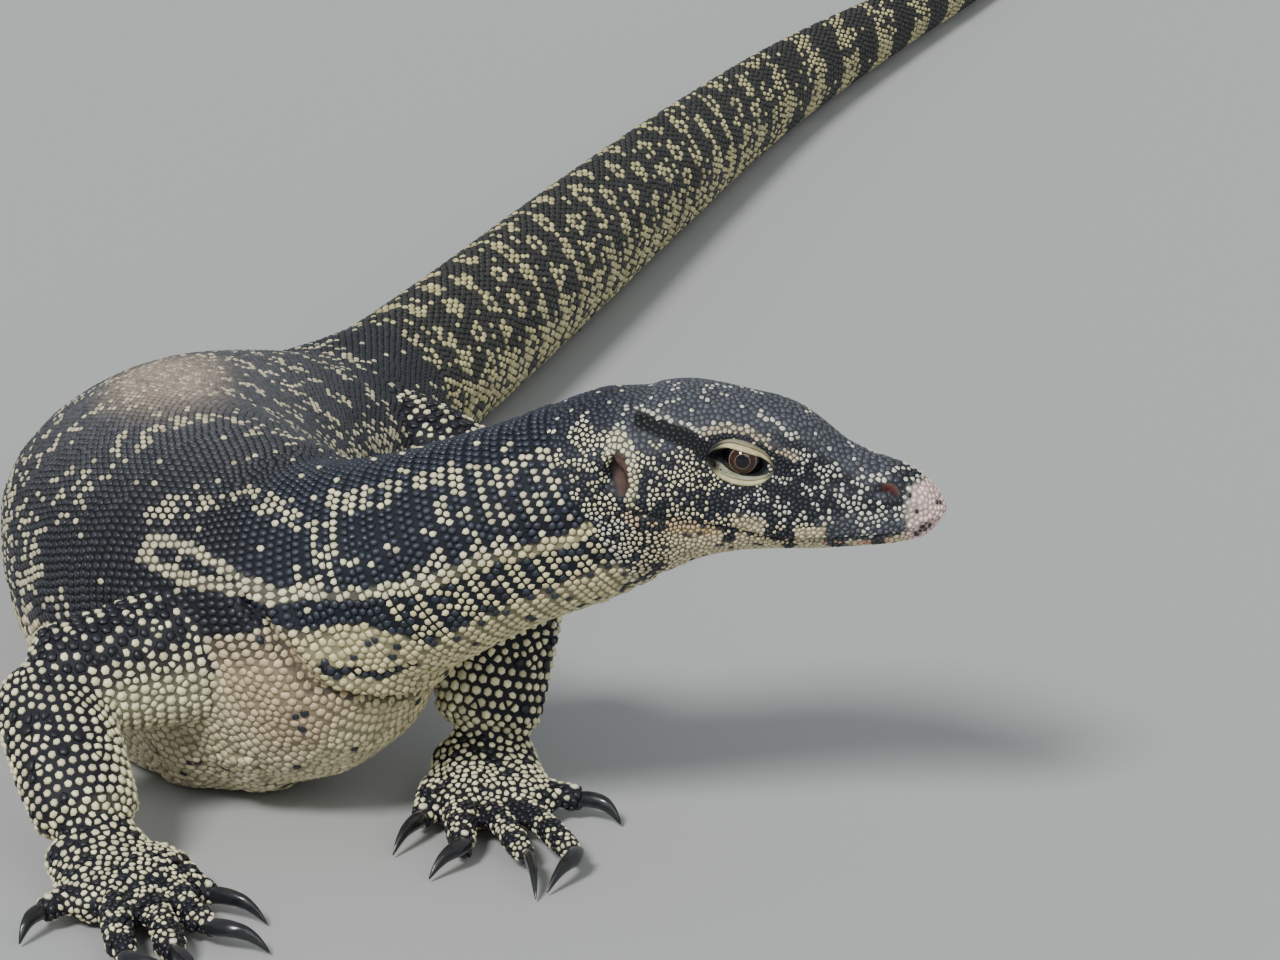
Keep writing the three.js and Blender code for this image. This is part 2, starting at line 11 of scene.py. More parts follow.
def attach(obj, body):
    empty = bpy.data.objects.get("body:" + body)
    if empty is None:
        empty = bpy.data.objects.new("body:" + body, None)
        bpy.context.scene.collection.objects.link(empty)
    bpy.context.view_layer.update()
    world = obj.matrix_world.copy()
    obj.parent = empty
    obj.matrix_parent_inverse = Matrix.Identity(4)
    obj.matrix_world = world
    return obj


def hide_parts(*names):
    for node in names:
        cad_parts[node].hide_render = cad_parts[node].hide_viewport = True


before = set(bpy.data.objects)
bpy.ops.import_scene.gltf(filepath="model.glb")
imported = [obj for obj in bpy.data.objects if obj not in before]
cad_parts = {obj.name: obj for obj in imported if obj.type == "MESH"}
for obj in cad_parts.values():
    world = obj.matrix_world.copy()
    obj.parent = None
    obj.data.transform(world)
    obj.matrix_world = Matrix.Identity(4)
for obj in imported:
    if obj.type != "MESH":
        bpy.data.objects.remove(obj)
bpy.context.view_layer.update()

# The camera keeps the photo's framing: it stands three metres off, a little above the animal,
# and looks down on it through a long lens.
CAMERA_PLACE = (0.0157, -3.0025, 0.9106)
CAMERA_PITCH_DOWN = 18
PHOTO_WIDTH = 1280
FOCAL_PIXELS = 7875
SENSOR_WIDTH = 36

camera_data = bpy.data.cameras.new("camera")
camera_data.sensor_width = SENSOR_WIDTH
camera_data.lens = FOCAL_PIXELS * SENSOR_WIDTH / PHOTO_WIDTH
camera_data.clip_end = 100
camera = bpy.data.objects.new("camera", camera_data)
camera.location = CAMERA_PLACE
camera.rotation_euler = (math.radians(90 - CAMERA_PITCH_DOWN), 0, 0)
bpy.context.scene.collection.objects.link(camera)
bpy.context.scene.camera = camera

# The studio: a pale floor that runs out of sight, a pale sky all round, and two broad soft
# lamps, the key from above and to the left and a weak one from the right.
FLOOR_HALF = 60
FLOOR_DROP = 0.0004
SKY_COLOUR = (0.86, 0.90, 0.95, 1)
SKY_STRENGTH = 0.5
# Each lamp: name, strength, spread and turn in degrees.
LAMPS = [("key", 3.4, 14, (40, -26, 0)), ("fill", 0.7, 40, (50, 35, 0))]


def linked_object(name, mesh):
    made = bpy.data.objects.new(name, mesh)
    bpy.context.scene.collection.objects.link(made)
    return made


def plain_material(name):
    material = bpy.data.materials.new(name)
    material.use_nodes = True
    return material, material.node_tree, material.node_tree.nodes["Principled BSDF"]


floor_form = bmesh.new()
bmesh.ops.create_grid(floor_form, x_segments=1, y_segments=1, size=FLOOR_HALF)
bmesh.ops.translate(floor_form, verts=floor_form.verts, vec=(0, 0, -FLOOR_DROP))
floor_mesh = bpy.data.meshes.new("floor")
floor_form.to_mesh(floor_mesh)
floor_form.free()
floor = linked_object("floor", floor_mesh)
floor_material, _, floor_shader = plain_material("pale floor")
floor_shader.inputs["Base Color"].default_value = (0.40, 0.41, 0.40, 1)
floor_shader.inputs["Roughness"].default_value = 0.8
floor_mesh.materials.append(floor_material)

world = bpy.data.worlds.new("studio sky")
world.use_nodes = True
world.node_tree.nodes["Background"].inputs["Color"].default_value = SKY_COLOUR
world.node_tree.nodes["Background"].inputs["Strength"].default_value = SKY_STRENGTH
bpy.context.scene.world = world
for lamp_name, strength, spread, turn in LAMPS:
    lamp_data = bpy.data.lights.new(lamp_name, "SUN")
    lamp_data.energy = strength
    lamp_data.angle = math.radians(spread)
    lamp = bpy.data.objects.new(lamp_name, lamp_data)
    lamp.rotation_euler = [math.radians(angle) for angle in turn]
    bpy.context.scene.collection.objects.link(lamp)

# The body line, from the snout tip to the tail tip, in millimetres. A place on the animal is
# told by its distance along this line and its angle round it: 0 on top, 90 on the right side.
MM = 0.001
HEAD_LENGTH = 105.5
EAR_MIDPOINT = np.array((10.5, -596.0, 141.0))
HEAD_YAW = math.radians(-10)
HEAD_PITCH = math.radians(-4.5)
SKULL_LINE_DROP = 8
HEAD_STATIONS = (HEAD_LENGTH, 80, 60, 40, 20, 8, 0)
# Behind the head, one step after another: length and bearing in plan, and height over the floor.
BODY_WALK = [
    (22, 171, 121), (22, 165, 109), (24, 158, 96), (24, 149, 84), (24, 138, 75),
    (40, 127, 72), (45, 113, 67), (55, 98, 61), (60, 83, 53), (60, 75, 44), (50, 71, 36),
    (62, 69, 31), (70, 70, 30), (120, 72, 29), (150, 73, 25), (170, 72, 20), (150, 68, 15),
    (120, 67, 10.5), (110, 74, 6.4), (90, 88, 1.6),
]
# Distance from the snout, half width, rise over the line and drop below it.
BODY_SIZES = np.array([
    (0, 3.5, 3, 3), (8, 11.2, 11, 10.6), (25, 15, 16, 15), (41, 18.4, 23.8, 17.8),
    (57, 21.8, 30.4, 19.6), (77, 26.8, 32, 25.4), (95, 30.6, 30.2, 35.4), (106, 30.6, 27, 38.4),
    (151, 31, 32, 35.5), (178, 35, 35.5, 36.5), (204, 42, 40, 40), (226, 49, 45, 58),
    (268, 57, 49, 76), (320, 61, 51, 78), (375, 62, 50, 72), (432, 61, 46, 63),
    (490, 55, 39, 52), (543, 46, 32, 42), (605, 31, 31, 33), (665, 28, 32, 31),
    (805, 23.5, 31, 29.5), (955, 19, 27.5, 26), (1105, 14.6, 22, 21), (1305, 9.6, 14, 13.4),
    (1455, 5.4, 7.8, 7.6), (1562, 2, 2.6, 2.6), (1586, 0.9, 1.2, 1.2),
])
HEAD_FORWARD = np.array((
    math.cos(HEAD_YAW) * math.cos(HEAD_PITCH),
    math.sin(HEAD_YAW) * math.cos(HEAD_PITCH),
    math.sin(HEAD_PITCH),
))
HEAD_RIGHT = np.array((math.sin(HEAD_YAW), -math.cos(HEAD_YAW), 0))
HEAD_UP = np.cross(HEAD_RIGHT, HEAD_FORWARD)


def head_point(ahead, out, above, side=1):
    return EAR_MIDPOINT + HEAD_FORWARD * ahead + HEAD_RIGHT * (out * side) + HEAD_UP * above


def head_coordinates(places):
    """Millimetres ahead of the ears, to the animal's right, and above the ears."""
    from_ears = places - EAR_MIDPOINT
    return from_ears @ HEAD_FORWARD, from_ears @ HEAD_RIGHT, from_ears @ HEAD_UP


def smooth_line(points, steps):
    """A curve through the points that bends evenly, as the solids' own rail does."""
    ends = np.vstack([2 * points[0] - points[1], points, 2 * points[-1] - points[-2]])
    share = (np.arange(steps) / steps)[:, None]
    made = []
    for first, start, end, last in zip(ends, ends[1:], ends[2:], ends[3:]):
        before, between, after = (
            np.linalg.norm(b - a) ** 0.5 for a, b in ((first, start), (start, end), (end, last))
        )
        leave = (start - first) / before - (end - first) / (before + between)
        leave = (leave + (end - start) / between) * between
        arrive = (end - start) / between - (last - start) / (between + after)
        arrive = (arrive + (last - end) / after) * between
        made.append(
            (2 * share**3 - 3 * share**2 + 1) * start
            + (share**3 - 2 * share**2 + share) * leave
            + (3 * share**2 - 2 * share**3) * end
            + (share**3 - share**2) * arrive
        )
    return np.vstack([*made, points[-1:]])


walk = [head_point(ahead, 0, -SKULL_LINE_DROP) for ahead in HEAD_STATIONS]
for length, bearing, height in BODY_WALK:
    across = length * math.cos(math.radians(bearing))
    up_plan = length * math.sin(math.radians(bearing))
    walk.append(np.array((walk[-1][0] + across, walk[-1][1] + up_plan, height)))
fine_line = smooth_line(np.array(walk), 60)
fine_steps = np.linalg.norm(np.diff(fine_line, axis=0), axis=1)
fine_distance = np.concatenate([[0], np.cumsum(fine_steps)])
LINE_END = int(fine_distance[-1])
line_at = np.arange(0, LINE_END, 1.0)
body_line = np.stack([np.interp(line_at, fine_distance, fine_line[:, k]) for k in range(3)], 1)
line_along = np.gradient(body_line, axis=0)
line_along /= np.linalg.norm(line_along, axis=1)[:, None]
line_side = np.stack([-line_along[:, 1], line_along[:, 0], np.zeros(len(line_along))], 1)
line_side /= np.linalg.norm(line_side, axis=1)[:, None]
line_rise = -np.cross(line_side, line_along)


def body_sizes(distance):
    """Half width, rise above the line and drop below it."""
    return [np.interp(distance, BODY_SIZES[:, 0], BODY_SIZES[:, k]) for k in (1, 2, 3)]


def girth_radius(distance):
    half_width, rise, drop = body_sizes(distance)
    return (half_width + (rise + drop) / 2) / 2


def body_coordinates(places):
    """Distance along the body line and angle round it, for rows of places."""
    distance = np.zeros(len(places))
    angle = np.zeros(len(places))
    coarse = body_line[::6]
    for low in range(0, len(places), 8000):
        some = places[low:low + 8000]
        nearest = ((some[:, None, :] - coarse[None]) ** 2).sum(2).argmin(1) * 6
        for _ in range(4):
            ahead = ((some - body_line[nearest]) * line_along[nearest]).sum(1)
            nearest = np.clip(np.round(nearest + ahead * 0.8).astype(int), 0, len(body_line) - 1)
        away = some - body_line[nearest]
        distance[low:low + 8000] = line_at[nearest]
        sideways = (away * line_side[nearest]).sum(1)
        upwards = (away * line_rise[nearest]).sum(1)
        angle[low:low + 8000] = np.degrees(np.arctan2(sideways, upwards))
    return distance, angle


# The limbs' own lines, in millimetres: shoulder or hip, elbow or knee, wrist or ankle, and
# the bearing of the foot in plan. Digits start ahead of the wrist and inward of its middle.
PLAN_SHIFT = np.array((-81.5, -536.0, 0.0))
HIP_DISTANCE = 543
# Each digit: where it starts ahead and inward of the wrist, its length, and its angle inward.
FINGERS = [
    (18, 18.5, 25, 15), (32, 11, 37, 3), (36, 2, 47, -11), (34, -8, 50, -18), (22, -15, 18, -66),
]
TOES = [(24, 15, 24, 30), (36, 9, 33, 14), (40, 1, 42, 2), (37, -7, 50, -10), (22, -14, 32, -40)]
ARM_NODES = ("upper_arm", "forearm", "hand")
LEG_NODES = ("thigh", "shank", "foot")
# Side of the body, the three joints, and the bearing of the foot. The arms are told in plan, and
# the legs ahead of the hip, out from it and up.
ARM_JOINTS = {
    "left": (-1, (8, -8, 66), (56, 14, 80), (45, -2, 20), -83),
    "right": (1, (-20, -26, 66), (-97, -47, 54), (-79, -90, 19), -63),
}
LEG_JOINTS = {
    "left": (-1, (-6, 16, 34), (12, 68, 35), (-54, 84, 15), 16),
    "right": (1, (-6, 16, 34), (6, 67, 34), (-62, 69, 15), 8),
}
hip_place = body_line[HIP_DISTANCE]
hip_forward = -line_along[HIP_DISTANCE]
hip_side = line_side[HIP_DISTANCE]


def limb_lines(front, label):
    """A limb's places, and its foot's forward and thumbward directions and digits."""
    side, root, bend, wrist, turn = (ARM_JOINTS if front else LEG_JOINTS)[label]
    if front:
        places = [np.array(place, float) + PLAN_SHIFT for place in (root, bend, wrist)]
        bearing = math.radians(turn)
    else:
        places = []
        for ahead, out, height in (root, bend, wrist):
            place = hip_place + hip_forward * ahead + hip_side * (out * side)
            places.append(np.array((place[0], place[1], height)))
        bearing = math.atan2(hip_forward[1], hip_forward[0]) - side * math.radians(turn)
    forward = np.array((math.cos(bearing), math.sin(bearing), 0))
    thumbward = np.array((-forward[1], forward[0], 0)) * side
    digits = []
    for ahead, inward, length, angle in FINGERS if front else TOES:
        start = places[2] + forward * ahead + thumbward * inward
        turned = math.radians(angle)
        way = forward * math.cos(turned) + thumbward * math.sin(turned)
        digits.append((start, way, length))
    return {
        "front": front, "label": label, "side": side, "root": places[0], "bend": places[1],
        "wrist": places[2], "forward": forward, "thumbward": thumbward, "digits": digits,
        "nodes": [f"{name}_{label}" for name in (ARM_NODES if front else LEG_NODES)],
    }


limbs = [limb_lines(front, label) for front in (True, False) for label in ("left", "right")]

# The skin: one closed hide over the whole animal, made from grown copies of the flesh so that
# their thin gaps close. The head is worked finely and the rest more coarsely, and the two are
# joined at the neck. It lies under the tops of the scales.
BODY_NODES = ["neck", "chest", "trunk", "pelvis", "tail_1", "tail_2", "tail_3", "tail_4", "tail_5"]
HEAD_NODES = ["head", "lower_jaw"]
EYE_NODES = ["eye_right", "eye_left"]
FLESH_NODES = HEAD_NODES + BODY_NODES + [name for limb in limbs for name in limb["nodes"]]
MERGE_GAP = 0.00001
GROWTH = 0.4
SCALE_DEPTH = 0.85
SMOOTHINGS = 7
BODY_GRAIN = 1.5
HEAD_GRAIN = 1.05
THINNED_SHARE = 0.4
# Round each foot, from the wrist: behind and ahead, to both sides, and up from the floor.
FOOT_REACH = (-12, 110, 62, 34)
FOLD_STATION, FOLD_REACH = 210, 78
NECK_CUT, NECK_REACH = 132, 70
TAIL_CUT, TAIL_REACH = 1452, 30
CUT_GAP = 3
TAIL_TIP = 1582
TIP_SIDES, TIP_RINGS = 16, 40
TIP_NARROWING = 0.25
FLOOR_CLEAR = 0.2


def vertex_places(mesh):
    flat = np.empty(len(mesh.vertices) * 3, np.float32)
    mesh.vertices.foreach_get("co", flat)
    return flat.reshape(-1, 3).astype(float)


def grown_copies(names, grow):
    """These nodes' solids in one form, each grown outward by so many millimetres."""
    whole = bmesh.new()
    for name in names:
        part = bmesh.new()
        part.from_mesh(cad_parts[name].data)
        bmesh.ops.remove_doubles(part, verts=part.verts, dist=MERGE_GAP)
        part.normal_update()
        for vert in part.verts:
            vert.co += vert.normal * (grow * MM)
        part_mesh = bpy.data.meshes.new(name)
        part.to_mesh(part_mesh)
        part.free()
        whole.from_mesh(part_mesh)
        bpy.data.meshes.remove(part_mesh)
    return whole


def remeshed(names, grain):
    """One even mesh round the grown copies of these nodes, smoothed."""
    whole = grown_copies(names, GROWTH)
    mesh = bpy.data.meshes.new("flesh")
    whole.to_mesh(mesh)
    whole.free()
    holder = linked_object("flesh", mesh)
    voxels = holder.modifiers.new("voxels", "REMESH")
    voxels.mode = "VOXEL"
    voxels.voxel_size = grain * MM
    graph = bpy.context.evaluated_depsgraph_get()
    even = bpy.data.meshes.new_from_object(holder.evaluated_get(graph))
    bpy.data.objects.remove(holder)
    form = bmesh.new()
    form.from_mesh(even)
    bpy.data.meshes.remove(even)
    for _ in range(SMOOTHINGS):
        bmesh.ops.smooth_vert(
            form, verts=form.verts, factor=0.5, use_axis_x=True, use_axis_y=True, use_axis_z=True
        )
    return form


def thinned(form):
    """The form with fewer and larger faces everywhere but on the feet and the throat's fold."""
    mesh = bpy.data.meshes.new("flesh")
    form.to_mesh(mesh)
    form.free()
    places = vertex_places(mesh) / MM
    behind, before, beside, height = FOOT_REACH
    fold_place = body_line[FOLD_STATION]
    fine = np.linalg.norm(places - fold_place, axis=1) < FOLD_REACH
    for limb in limbs:
        away = places - limb["wrist"]
        ahead = away @ limb["forward"]
        inward = away @ limb["thumbward"]
        along_foot = (ahead > behind) & (ahead < before)
        fine |= along_foot & (np.abs(inward) < beside) & (places[:, 2] < height)
    holder = linked_object("flesh", mesh)
    coarse = holder.vertex_groups.new(name="coarse")
    coarse.add(np.flatnonzero(~fine).tolist(), 1.0, "REPLACE")
    thin = holder.modifiers.new("thin", "DECIMATE")
    thin.ratio = THINNED_SHARE
    thin.vertex_group = coarse.name
    graph = bpy.context.evaluated_depsgraph_get()
    fewer = bpy.data.meshes.new_from_object(holder.evaluated_get(graph))
    bpy.data.objects.remove(holder)
    thinned_form = bmesh.new()
    thinned_form.from_mesh(fewer)
    bpy.data.meshes.remove(fewer)
    return thinned_form


def cut_across(form, place, way, keep_before, reach):
    """Cuts the form at a place, square to a direction, and drops the side that isn't kept."""
    centre = Vector(place * MM)
    along = Vector(way)
    near = [face for face in form.faces if (face.calc_center_median() - centre).length < reach * MM]
    around = {edge for face in near for edge in face.edges}
    corners = {vert for face in near for vert in face.verts}
    cut = bmesh.ops.bisect_plane(
        form, geom=[*near, *around, *corners], dist=1e-7, plane_co=centre, plane_no=along
    )
    loose_edges = {item for item in cut["geom_cut"] if isinstance(item, bmesh.types.BMEdge)}
    loops = []
    while loose_edges:
        chain = [loose_edges.pop()]
        for edge in chain:
            for vert in edge.verts:
                for beside in vert.link_edges:
                    if beside in loose_edges:
                        loose_edges.discard(beside)
                        chain.append(beside)
        middle = sum((edge.verts[0].co for edge in chain), Vector()) / len(chain)
        if len({vert for edge in chain for vert in edge.verts}) == len(chain):
            loops.append(((middle - centre).length, len(loops), chain))
    rim = min(loops)[2]
    wall = {vert for edge in rim for vert in edge.verts}
    unwanted = 1 if keep_before else -1
    seeds = []
    for edge in rim:
        for face in edge.link_faces:
            if (face.calc_center_median() - centre).dot(along) * unwanted > 0:
                seeds.append(face)
    dropped = set(seeds)
    while seeds:
        face = seeds.pop()
        for edge in face.edges:
            if edge.verts[0] in wall and edge.verts[1] in wall:
                continue
            for beside in edge.link_faces:
                if beside not in dropped:
                    dropped.add(beside)
                    seeds.append(beside)
    bmesh.ops.delete(form, geom=list(dropped), context="FACES")
    loose = [vert for vert in form.verts if not vert.link_faces]
    bmesh.ops.delete(form, geom=loose, context="VERTS")


def joined(first, second, place, reach):
    """Both forms in one, with the two open rims near this place bridged."""
    carrier = bpy.data.meshes.new("carrier")
    second.to_mesh(carrier)
    second.free()
    first.from_mesh(carrier)
    bpy.data.meshes.remove(carrier)
    centre = Vector(place * MM)
    rims = [
        edge for edge in first.edges
        if edge.is_boundary and (edge.verts[0].co - centre).length < reach * MM
    ]
    bmesh.ops.bridge_loops(first, edges=rims)
    return first


def tail_tip_form():
    """The last thin length of the tail, closed at its tip."""
    form = bmesh.new()
    rings = []
    for distance in np.linspace(TAIL_CUT + CUT_GAP, TAIL_TIP, TIP_RINGS):
        half_width, rise, drop = body_sizes(distance)
        place = int(distance)
        ring = []
        for step in range(TIP_SIDES):
            turn = 2 * math.pi * step / TIP_SIDES
            across = math.sin(turn) * half_width * (1 - TIP_NARROWING * max(math.cos(turn), 0))
            up = math.cos(turn) * (rise if math.cos(turn) > 0 else drop)
            spot = body_line[place] + line_side[place] * across + line_rise[place] * up
            spot[2] = max(spot[2], FLOOR_CLEAR)
            ring.append(form.verts.new(spot * MM))
        rings.append(ring)
    for near, far in zip(rings, rings[1:]):
        for step in range(TIP_SIDES):
            after = (step + 1) % TIP_SIDES
            form.faces.new((near[step], near[after], far[after], far[step]))
    form.faces.new(rings[-1])
    return form


neck_place, neck_way = body_line[NECK_CUT], line_along[NECK_CUT]
tail_place, tail_way = body_line[TAIL_CUT], line_along[TAIL_CUT]
head_form = remeshed(HEAD_NODES + EYE_NODES + ["neck"], HEAD_GRAIN)
cut_across(head_form, neck_place, neck_way, True, NECK_REACH)
skin_form = thinned(remeshed(FLESH_NODES[len(HEAD_NODES):], BODY_GRAIN))
cut_across(skin_form, neck_place + neck_way * CUT_GAP, neck_way, False, NECK_REACH)
cut_across(skin_form, tail_place, tail_way, True, TAIL_REACH)
skin_form = joined(skin_form, tail_tip_form(), tail_place, TAIL_REACH)
skin_form = joined(head_form, skin_form, neck_place, NECK_REACH)
bmesh.ops.triangulate(skin_form, faces=[face for face in skin_form.faces if len(face.verts) > 4])
bmesh.ops.recalc_face_normals(skin_form, faces=skin_form.faces)
skin_mesh = bpy.data.meshes.new("skin")
skin_form.to_mesh(skin_mesh)
skin_form.free()

# Which part of the animal each place of the skin belongs to: the piece of flesh in the solids
# that lies nearest to it.
node_corners = []
node_faces = []
face_node = []
for number, name in enumerate(FLESH_NODES):
    solid_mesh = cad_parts[name].data
    first = len(node_corners)
    node_corners.extend(vert.co.copy() for vert in solid_mesh.vertices)
    for face in solid_mesh.polygons:
        node_faces.append([first + corner for corner in face.vertices])
        face_node.append(number)
solid_tree = BVHTree.FromPolygons(node_corners, node_faces)


def nearest_nodes(places):
    """The number in FLESH_NODES of the piece nearest to each place, in millimetres."""
    return np.array([face_node[solid_tree.find_nearest(Vector(place * MM))[2]] for place in places])


def vertex_normals(mesh):
    flat = np.empty(len(mesh.vertices) * 3, np.float32)
    mesh.vertex_normals.foreach_get("vector", flat)
    return flat.reshape(-1, 3).astype(float)


# Relief of the hide: it lies under the scales, and the head has its sockets, nostrils, ear
# openings and the groove of the mouth pressed in. A small fold lies behind the jaw, and a deep
# one crosses the throat and runs up in front of the shoulder.
EYE_CENTRE = (41, 14.6, 6.2)
EYE_RADIUS = 7
SLIT_MIDDLE = (-0.9, -0.6)
SLIT_SLOPE = -0.14
SLIT_HALF = (10.2, 4.0)
# An opening: its middle ahead of the ear and above it, half length, half height and tilt.
NOSTRIL = (88.2, -0.3, 3.0, 1.65, -0.25)
EAR = (4.0, -0.6, 3.0, 6.8, 0.24)
MOUTH_LINE = np.array([
    (12, -12.8), (24, -14), (41, -16.8), (56, -20.4),
    (73, -18.8), (85, -16.6), (96, -13.6), (103, -11),
])
SOCKET_DEEP, NOSTRIL_DEEP, EAR_DEEP, EAR_RIM_RISE = 4.2, 2.8, 2.2, 0.8
EAR_RIM, EAR_RIM_WIDTH = 1.35, 0.25
MOUTH_DEEP, MOUTH_WIDTH = 0.95, 0.8
LIP_RISE, LIP_ABOVE, LIP_WIDTH = 0.5, 2.2, 1.3
JAW_CREASE, CREASE_DEEP, CREASE_WIDTH = [(13, -12.5), (6, -14), (0, -19)], 1.0, 1.5
BROW_RIDGE = [(29, 13.6), (38, 15.2), (43, 14.4), (52, 9.8), (60, 6)]
BROW_RISE, BROW_WIDTH = 0.9, 1.9
LORE_LINE, LORE_DEEP, LORE_WIDTH = [(56, 3), (70, 1.5), (78, -1)], 0.7, 3.2
HEAD_ENDS, HEAD_FULLER = 126, 0.3
# A fold or stripe of the body: distances along it, and angles round it in degrees.
GULAR_FOLD = [(203, 180), (206, 149), (208, 139), (211, 129), (212, 106), (214, 93), (218, 82)]
GULAR_DEEP, GULAR_WIDTH = 4.6, 2.4
POUCH_RISE, POUCH_AWAY, POUCH_WIDTH = 2.2, 6, 4
POUCH_EDGE = ((0, 60, 90, 140), (222, 218, 212, 206))
THROAT_FOLD = [(120, 178), (124, 150), (122, 125)]
THROAT_DEEP, THROAT_WIDTH = 1.0, 2
FOOT_FULLER = 0.55
DIGIT_FULLER, DIGIT_BESIDE, DIGIT_BELOW = 1.5, 6, 26
FULLER_FROM, FULLER_TO = 8, 1
SKIN_LOWEST = 0.5


def fade(value, start, end):
    """0 up to start and 1 from end, smoothly between."""
    share = np.clip((value - start) / (end - start), 0, 1)
    return share * share * (3 - 2 * share)


def slit_share(ahead, above):
    """How far out from the middle of the eye's opening: 1 is at the edge of the lids."""
    along = ahead - EYE_CENTRE[0] - SLIT_MIDDLE[0]
    up = above - EYE_CENTRE[2] - SLIT_MIDDLE[1] - SLIT_SLOPE * along
    return np.sqrt((along / SLIT_HALF[0]) ** 2 + (up / SLIT_HALF[1]) ** 2)


def pit_share(ahead, above, pit):
    """The same for a nostril or ear: an oval turned by a small angle."""
    centre, level, half_length, half_height, tilt = pit
    along = (ahead - centre) * math.cos(tilt) + (above - level) * math.sin(tilt)
    up = (above - level) * math.cos(tilt) - (ahead - centre) * math.sin(tilt)
    return np.sqrt((along / half_length) ** 2 + (up / half_height) ** 2)


def fall(value, start, end):
    """1 up to start and 0 from end, smoothly between."""
    return 1 - fade(value, start, end)


def ridge(away, width):
    """1 on a ridge or groove, falling away on both sides of it."""
    return np.exp(-(away / width) ** 2)


def distance_to_path(first, second, path):
    """Distance in the plane of the two coordinates to a line of straight lengths."""
    least = np.full(len(first), np.inf)
    for (x0, y0), (x1, y1) in zip(path, path[1:]):
        reach = (x1 - x0) ** 2 + (y1 - y0) ** 2
        share = np.clip(((first - x0) * (x1 - x0) + (second - y0) * (y1 - y0)) / reach, 0, 1)
        away = np.hypot(first - x0 - share * (x1 - x0), second - y0 - share * (y1 - y0))
        least = np.minimum(least, away)
    return least


def on_hide(path):
    """A path of distances and angles as distances and millimetres round the body."""
    return [(along, math.radians(angle) * girth_radius(along)) for along, angle in path]


def head_relief(ahead, out, above):
    """How far the head's surface moves outward, in millimetres."""
    sides = fade(np.abs(out), 6, 11)
    snout_sides = fade(np.abs(out), 4, 8)
    ear = pit_share(ahead, above, EAR)
    move = -SOCKET_DEEP * fall(slit_share(ahead, above), 0.55, 1.0) * sides
    move -= NOSTRIL_DEEP * fall(pit_share(ahead, above, NOSTRIL), 0.45, 1.05) * snout_sides
    move -= EAR_DEEP * fall(ear, 0.55, 1.0) * sides
    move += EAR_RIM_RISE * ridge(ear - EAR_RIM, EAR_RIM_WIDTH) * sides
    over_mouth = above - np.interp(ahead, MOUTH_LINE[:, 0], MOUTH_LINE[:, 1])
    move -= MOUTH_DEEP * (ridge(over_mouth, MOUTH_WIDTH) * fade(ahead, 9, 14))
    move += LIP_RISE * ridge(over_mouth - LIP_ABOVE, LIP_WIDTH) * fade(ahead, 22, 34)
    move -= CREASE_DEEP * ridge(distance_to_path(ahead, above, JAW_CREASE), CREASE_WIDTH) * sides
    move += BROW_RISE * ridge(distance_to_path(ahead, above, BROW_RIDGE), BROW_WIDTH) * sides
    move -= LORE_DEEP * ridge(distance_to_path(ahead, above, LORE_LINE), LORE_WIDTH) * sides
    return move


skin_places = vertex_places(skin_mesh) / MM
skin_region = nearest_nodes(skin_places)
skin_normals = vertex_normals(skin_mesh)
skin_distance, skin_angle = body_coordinates(skin_places)
in_head = (skin_region < len(HEAD_NODES)) | (skin_distance < HEAD_ENDS)
ahead, out, above = head_coordinates(skin_places)
around = np.radians(np.abs(skin_angle)) * girth_radius(skin_distance)
push = np.full(len(skin_places), -(GROWTH + SCALE_DEPTH))
foot_numbers = [FLESH_NODES.index(limb["nodes"][2]) for limb in limbs]
push[np.isin(skin_region, foot_numbers)] += FOOT_FULLER
push += np.where(in_head, head_relief(ahead, out, above) + HEAD_FULLER, 0)
FIRST_LIMB = len(HEAD_NODES) + len(BODY_NODES)
in_body = skin_region < FIRST_LIMB
fold = distance_to_path(skin_distance, around, on_hide(GULAR_FOLD))
ahead_of_fold = skin_distance < np.interp(around, *POUCH_EDGE)
push -= np.where(in_body, GULAR_DEEP * ridge(fold, GULAR_WIDTH), 0)
push += np.where(in_body & ahead_of_fold, POUCH_RISE * ridge(fold - POUCH_AWAY, POUCH_WIDTH), 0)
for limb in limbs:
    for start, way, length in limb["digits"]:
        away = skin_places - start
        share = away @ way
        beside = np.hypot(*(away - share[:, None] * way)[:, :2].T)
        on_digit = (beside < DIGIT_BESIDE) & (skin_places[:, 2] < DIGIT_BELOW)
        at_end = fade(share, length - FULLER_FROM, length - FULLER_TO)
        push += DIGIT_FULLER * at_end * on_digit
fold = distance_to_path(skin_distance, around, on_hide(THROAT_FOLD))
push -= np.where(in_body, THROAT_DEEP * ridge(fold, THROAT_WIDTH), 0)
skin_places += skin_normals * push[:, None]
skin_places[:, 2] = np.maximum(skin_places[:, 2], SKIN_LOWEST)
skin_mesh.vertices.foreach_set("co", (skin_places * MM).astype(np.float32).ravel())
skin_mesh.update()
skin_mesh.polygons.foreach_set("use_smooth", [True] * len(skin_mesh.polygons))
skin_normals = vertex_normals(skin_mesh)
skin_distance, skin_angle = body_coordinates(skin_places)
skin_faces = [list(face.vertices) for face in skin_mesh.polygons]
skin_tree = BVHTree.FromPolygons([Vector(place) for place in skin_places * MM], skin_faces)

# Where the scales grow: rows across the body, tail and legs, from rays cast out of the middle
# lines, and close irregular ones on the head and feet. Gaps between the sets are filled.
SEED = 20
RAY_STEP = 2.5
LONGEST_STEP = 9
ROW_SHIVER = 0.07
FIRST_ROW_BEHIND_EARS = 6.0
